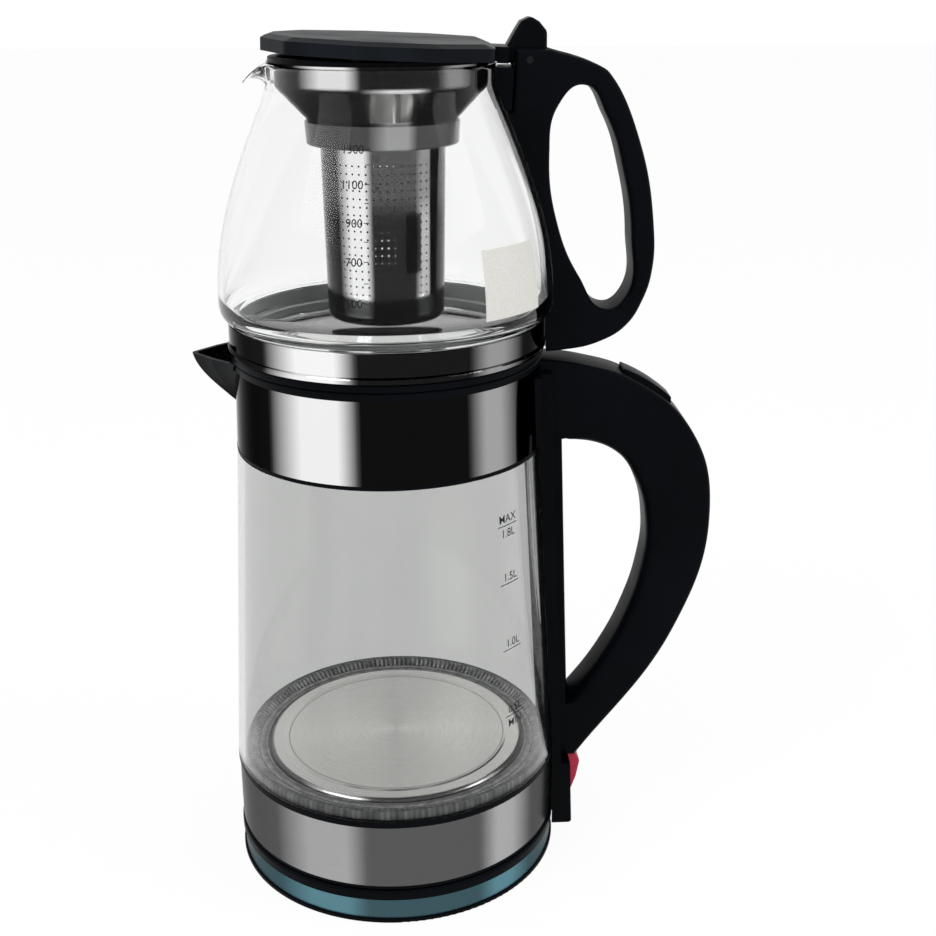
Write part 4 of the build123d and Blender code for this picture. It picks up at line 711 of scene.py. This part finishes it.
paper.put(Roughness=paper.eased(fibres, 0.3, 0.7, 0.5, 0.65))
paper.bump(fibres, 0.00002)
paper.on(label)

glass_t, rim_z, foot_r, foot_z = 0.0022, 0.3673, 0.0664, 0.2533
neck_step, rim_round, floor_t = 0.002, 0.0008, 0.0026


def teapot_profile(inset, low_z, high_z):
    """Side view of the teapot's wall drawn in by an inset, from the axis below to the rim, as (r, z)."""
    line = [(0.0, low_z), (foot_r - inset - 0.0015, low_z), (foot_r - inset, low_z + 0.0015),
            (foot_r - inset, 0.2618 + inset), (foot_r - inset + 0.0008, 0.2628 + inset)]
    line += [(belly_r - inset - drop, 0.2634 + inset + rise) for drop, rise in (
        (0.0034, 0.0), (0.0019, 0.0009), (0.0009, 0.0024), (0.0002, 0.0044))]
    for step in range(25):
        share = step / 24
        line.append((neck_r - inset + (belly_r - neck_r) * math.cos(math.pi / 2 * share),
                     belly_z + (neck_z - belly_z) * share))
    line[-1] = (line[-1][0] + 0.0004, line[-1][1])
    rows, rise = 7, high_z - neck_z - neck_step
    return line + [(neck_r - inset, neck_z + neck_step + rise * row / rows) for row in range(rows + 1)]


def turned(name, profile, steps):
    """A closed or axis-to-axis line (r, z) spun round the upright axis."""
    piece = added(bpy.ops.mesh.primitive_circle_add, name, vertices=len(profile), radius=0.01)
    for corner, (r, z) in zip(piece.data.vertices, profile):
        corner.co = (r, 0, z)
    clear_selection(piece)
    bpy.ops.object.mode_set(mode="EDIT")
    bpy.ops.mesh.select_all(action="SELECT")
    bpy.ops.mesh.spin(steps=steps, angle=2 * math.pi, center=(0, 0, 0), axis=(0, 0, 1))
    bpy.ops.mesh.select_all(action="SELECT")
    bpy.ops.mesh.remove_doubles(threshold=weld)
    bpy.ops.mesh.delete_loose()
    bpy.ops.mesh.select_all(action="SELECT")
    bpy.ops.mesh.normals_make_consistent(inside=False)
    bpy.ops.object.mode_set(mode="OBJECT")
    return piece


outer_line = teapot_profile(0, foot_z, rim_z - rim_round)
inner_line = teapot_profile(glass_t, foot_z + floor_t, rim_z - rim_round)
mid_wall = neck_r - glass_t / 2
teapot = turned("teapot_bowl", outer_line + [
    (neck_r - 0.0003, rim_z - 0.0002), (mid_wall, rim_z), (neck_r - glass_t + 0.0003, rim_z - 0.0002)]
    + inner_line[::-1], 144)
lip_half_w, lip_root_z, lip_reach, lip_droop, lip_t = 0.0145, 0.3592, 0.0101, 0.0068, 0.0016
for corner in teapot.data.vertices:
    outside = math.hypot(corner.co.x, corner.co.y) > mid_wall + 0.0001
    across = min(1.25 * max(1 - abs(corner.co.y) / lip_half_w, 0.0), 1.0) if corner.co.x < 0 else 0.0
    up = max((corner.co.z - lip_root_z) / (rim_z - lip_root_z), 0.0)
    pull = across * across * (3 - 2 * across) * up ** 1.4
    corner.co.x -= lip_reach * pull
    corner.co.z -= lip_droop * pull * pull + (lip_t * pull if outside else 0.0)
shaded(teapot)
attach(teapot, "teapot")
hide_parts("teapot_glass")

teapot_glass = Finish("teapot_borosilicate", IOR=1.47, Transmission_Weight=1.0,
                      Specular_Tint=(0.12, 0.12, 0.12))
haze = teapot_glass.noise(teapot_glass.stretched(24, 24, 8), 1.0, 2.0)
teapot_glass.put(Base_Color=teapot_glass.mixed(
    teapot_glass.eased(haze, 0.35, 0.75, 0.0, 0.2), (0.96, 0.965, 0.96), (0.92, 0.925, 0.915)))
teapot_glass.put(Roughness=teapot_glass.eased(haze, 0.3, 0.7, 0.0, 0.01))
teapot_glass.on(teapot)

# ---------------------------------------------------------------- Teapot handle
# A black handle moulded in one piece, rounded all round, with two cheeks that hold the hinge pin
# between them. It stands against the glass and is screwed to a bracket on the steel ring.
pot_half_w, pot_edge, pot_hole_edge, wall_gap = 0.011, 0.0026, 0.0032, 0.0004
teapot_grip = rounded_slab("teapot_grip", pot_half_w, pot_edge, [
    (36, 246.6, 1), (36, 348.5, 1), (53.0, 348.5, 1), (54.4, 373.0, 1), (68.9, 372.6, 1), (90.2, 365.6),
    (93.7, 362.9), (106.0, 338.6), (114.5, 298.6), (114.3, 280.6), (110.9, 268.6), (103.9, 257.1),
    (92.9, 250.2), (76.9, 246.6)])
ring_wall_r, flange_r, flange_z, wall_low_z, wall_high_z = 0.0686, 0.0692, 0.2510, 0.2524, 0.2624
below_z, above_z = 0.236, 0.376
around = [(r, z) for r, z in teapot_profile(-wall_gap, 0.24, above_z) if z > wall_high_z + 0.0001]
cut(teapot_grip, turned("teapot_outside", [
    (0, below_z), (flange_r + wall_gap, below_z), (flange_r + wall_gap, flange_z),
    (ring_wall_r + wall_gap, wall_low_z), (ring_wall_r + wall_gap, wall_high_z)]
    + around + [(0, above_z)], 180))
cut(teapot_grip, hole_plug([
    (83.0, 358.4), (72.6, 350.4), (69.2, 330.6), (73.5, 300.1), (83.0, 278.6), (94.5, 264.6), (103.1, 269.8),
    (104.7, 295.6), (100.5, 322.6), (92.5, 346.1)], pot_half_w, pot_hole_edge, 0.04))
cheeks_low_x, cheeks_high_x, cheeks_z, cheeks_half_gap = 0.045, 0.0790, 0.3604, 0.0069
cut(teapot_grip, slanted_block((cheeks_low_x, cheeks_z), (cheeks_high_x, cheeks_z),
                               (cheeks_low_x, above_z), (cheeks_high_x, above_z), cheeks_half_gap))
pin_bore_r, pin_x, pin_z = 0.00155, 0.0604, 0.3686
pin_bore = added(bpy.ops.mesh.primitive_cylinder_add, "pin_bore", vertices=32, radius=pin_bore_r, depth=0.03,
                 rotation=(math.pi / 2, 0, 0), location=(pin_x, 0, pin_z))
cut(teapot_grip, pin_bore)
shaded(teapot_grip)
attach(teapot_grip, "teapot")
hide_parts("teapot_handle")
handle_plastic.on(teapot_grip)

# ---------------------------------------------------------------- Lid
# Black-green ABS lid and its thumb lever, moulded apart and screwed together from below. Both
# turn on the steel pin between the handle's cheeks.
lid_plastic = moulded("lid_plastic", (0.0052, 0.0064, 0.0080), 0.42, 0.00003)
lid_plastic.on(nodes["teapot_lid"])
thumb_piece = softened("thumb_lever", "thumb_piece", 0.0014, "lid")
body_plastic.on(thumb_piece)

# ---------------------------------------------------------------- Infuser
# Polished steel funnel and strainer tube, spun and laser-drilled, held together by a smoky
# clear collar. The tube's holes stand in upright rows with a plain band at its foot.
cone_top_z, cone_round, cone_shift = 0.3598, 0.0008, 0.1
funnel_steel = Finish("polished_funnel", Metallic=1.0, Specular_Tint=(0.35, 0.35, 0.35))
turn, _, _, height = round_axis(funnel_steel)
# Painted reflections: upright light and dark bands round the funnel, turned a little on the cone.
upper = two_windows(funnel_steel, turn, 0.01, 0.8, 0.25, 0.5)
lower = two_windows(funnel_steel, turn - cone_shift, 0.02, 0.85, 0.1, 0.3)
funnel_steel.put(Base_Color=funnel_steel.mixed(
    funnel_steel.eased(height, cone_top_z - cone_round, cone_top_z + cone_round), lower, upper))
cloud = funnel_steel.noise(funnel_steel.place(), 120.0)
funnel_steel.put(Roughness=funnel_steel.eased(cloud, 0.3, 0.7, 0.05, 0.11))
funnel_steel.on(nodes["infuser_funnel"])

hole_pitch_round, hole_pitch_up, hole_r = 0.0029, 0.0033, 0.00042
tube_r, tube_foot_z, drilled_low_z, drilled_high_z = 0.0257, 0.2621, 0.2715, 0.3305
lower_z, upper_z, shadow_low_z, shadow_high_z = 0.305, 0.318, tube_foot_z + 0.003, tube_foot_z + 0.0042
holes_round = round(2 * math.pi * tube_r / hole_pitch_round)
strainer_steel = Finish("drilled_strainer", Metallic=1.0)
turn, _, _, height = round_axis(strainer_steel)
# Painted reflections: upright light and dark bands round the tube, a little different above and below.
upper = two_windows(strainer_steel, turn, 0.1, 0.9, 0.3, 0.3)
lower = two_windows(strainer_steel, turn, 0.02, 0.9, 0.5, 0.3)
body_tone = strainer_steel.mixed(strainer_steel.eased(height, lower_z, upper_z), lower, upper)
# Painted shadow: the tube is near black at its foot.
strainer_steel.put(Base_Color=strainer_steel.mixed(
    strainer_steel.eased(height, shadow_low_z, shadow_high_z), (0.012, 0.012, 0.012), body_tone))
across = ((turn * holes_round).fract() - 0.5) * hole_pitch_round
up = ((height / hole_pitch_up).fract() - 0.5) * hole_pitch_up
drilled = ((across * across + up * up) < hole_r ** 2) * (height > drilled_low_z) * (height < drilled_high_z)
strainer_steel.put(Alpha=1 - drilled)
cloud = strainer_steel.noise(strainer_steel.place(), 120.0)
strainer_steel.put(Roughness=strainer_steel.eased(cloud, 0.3, 0.7, 0.06, 0.13))
strainer_steel.on(nodes["infuser_tube"])

smoke = Finish("smoky_collar", IOR=1.5, Transmission_Weight=0.3, Specular_IOR_Level=0.3)
turn, _, _, _ = round_axis(smoke)
# Painted reflections: upright light and dark bands round the collar.
smoke.put(Base_Color=two_windows(smoke, turn - cone_shift, 0.08, 0.6, 0.2, 0.1))
cloud = smoke.noise(smoke.place(), 90.0)
smoke.put(Roughness=smoke.eased(cloud, 0.3, 0.7, 0.16, 0.26))
smoke.on(nodes["infuser_collar"])

# ---------------------------------------------------------------- Table, light and camera
# A plain pale table top under an even white sky, and soft light from two large panels, which
# mirror-finished metal doesn't show.
table_white, sky_white, sky_strength = 0.93, 1.0, 0.75
table_top = added(bpy.ops.mesh.primitive_plane_add, "table_top", size=14.0, location=(0, 0, -0.0002))


def seen_white(tree, lit_shader, share):
    """Mixes white into a shader for the rays that show it: the camera's, reflected and refracted."""
    white = tree.nodes.new("ShaderNodeEmission")
    white.inputs["Color"].default_value = (1, 1, 1, 1)
    white.inputs["Strength"].default_value = 1.0
    rays = tree.nodes.new("ShaderNodeLightPath")
    mask = rays.outputs["Is Camera Ray"]
    for kind in ("Is Glossy Ray", "Is Transmission Ray"):
        either = tree.nodes.new("ShaderNodeMath")
        either.operation = "MAXIMUM"
        tree.links.new(mask, either.inputs[0])
        tree.links.new(rays.outputs[kind], either.inputs[1])
        mask = either.outputs[0]
    part = tree.nodes.new("ShaderNodeMath")
    part.operation = "MULTIPLY"
    part.inputs[1].default_value = share
    tree.links.new(mask, part.inputs[0])
    blend = tree.nodes.new("ShaderNodeMixShader")
    tree.links.new(part.outputs[0], blend.inputs[0])
    tree.links.new(lit_shader, blend.inputs[1])
    tree.links.new(white.outputs[0], blend.inputs[2])
    return blend.outputs[0]


pale = Finish("pale_table", Base_Color=(0.93, 0.93, 0.93), Roughness=0.7, Specular_IOR_Level=0.0)
pale.on(table_top)
shown = seen_white(pale.tree, pale.shader.outputs[0], table_white)
pale.tree.links.new(shown, pale.tree.nodes["Material Output"].inputs["Surface"])

world = bpy.data.worlds.new("studio")
bpy.context.scene.world = world
world.use_nodes = True
air = world.node_tree
soft = air.nodes["Background"]
soft.inputs["Color"].default_value = (0.96, 0.98, 1.0, 1)
soft.inputs["Strength"].default_value = sky_strength
air.links.new(seen_white(air, soft.outputs[0], sky_white), air.nodes["World Output"].inputs["Surface"])


def panel(name, place, aim, size, watts):
    light = bpy.data.lights.new(name, "AREA")
    light.shape = "RECTANGLE"
    light.size, light.size_y = size
    light.energy = watts
    lamp = bpy.data.objects.new(name, light)
    bpy.context.scene.collection.objects.link(lamp)
    lamp.location = place
    lamp.visible_glossy = False
    lamp.rotation_mode = "QUATERNION"
    lamp.rotation_quaternion = (Vector(aim) - Vector(place)).to_track_quat("-Z", "Y")


panel("left_panel", (-1.1, -0.9, 1.3), (0, 0, 0.2), (0.9, 1.2), 16.0)
panel("right_panel", (1.2, -0.5, 1.1), (0, 0, 0.2), (0.6, 1.0), 9.0)

lens = bpy.data.cameras.new("camera")
camera = bpy.data.objects.new("camera", lens)
bpy.context.scene.collection.objects.link(camera)
bpy.context.scene.camera = camera
sensor_w, focal_px, picture_px = 36.0, 1380.0, 936.0
lens.sensor_width = sensor_w
lens.lens = sensor_w * focal_px / picture_px
lens.clip_start = 0.02
pitch, yaw, roll = math.radians(20.05), math.radians(3.42), math.radians(-0.16)
ahead = Vector((math.sin(yaw) * math.cos(pitch), math.cos(yaw) * math.cos(pitch), -math.sin(pitch)))
camera.location = (0, -0.590, 0.405)
camera.rotation_mode = "QUATERNION"
camera.rotation_quaternion = ahead.to_track_quat("-Z", "Y") @ Quaternion((0, 0, 1), roll)
bpy.context.scene.view_settings.view_transform = "Standard"
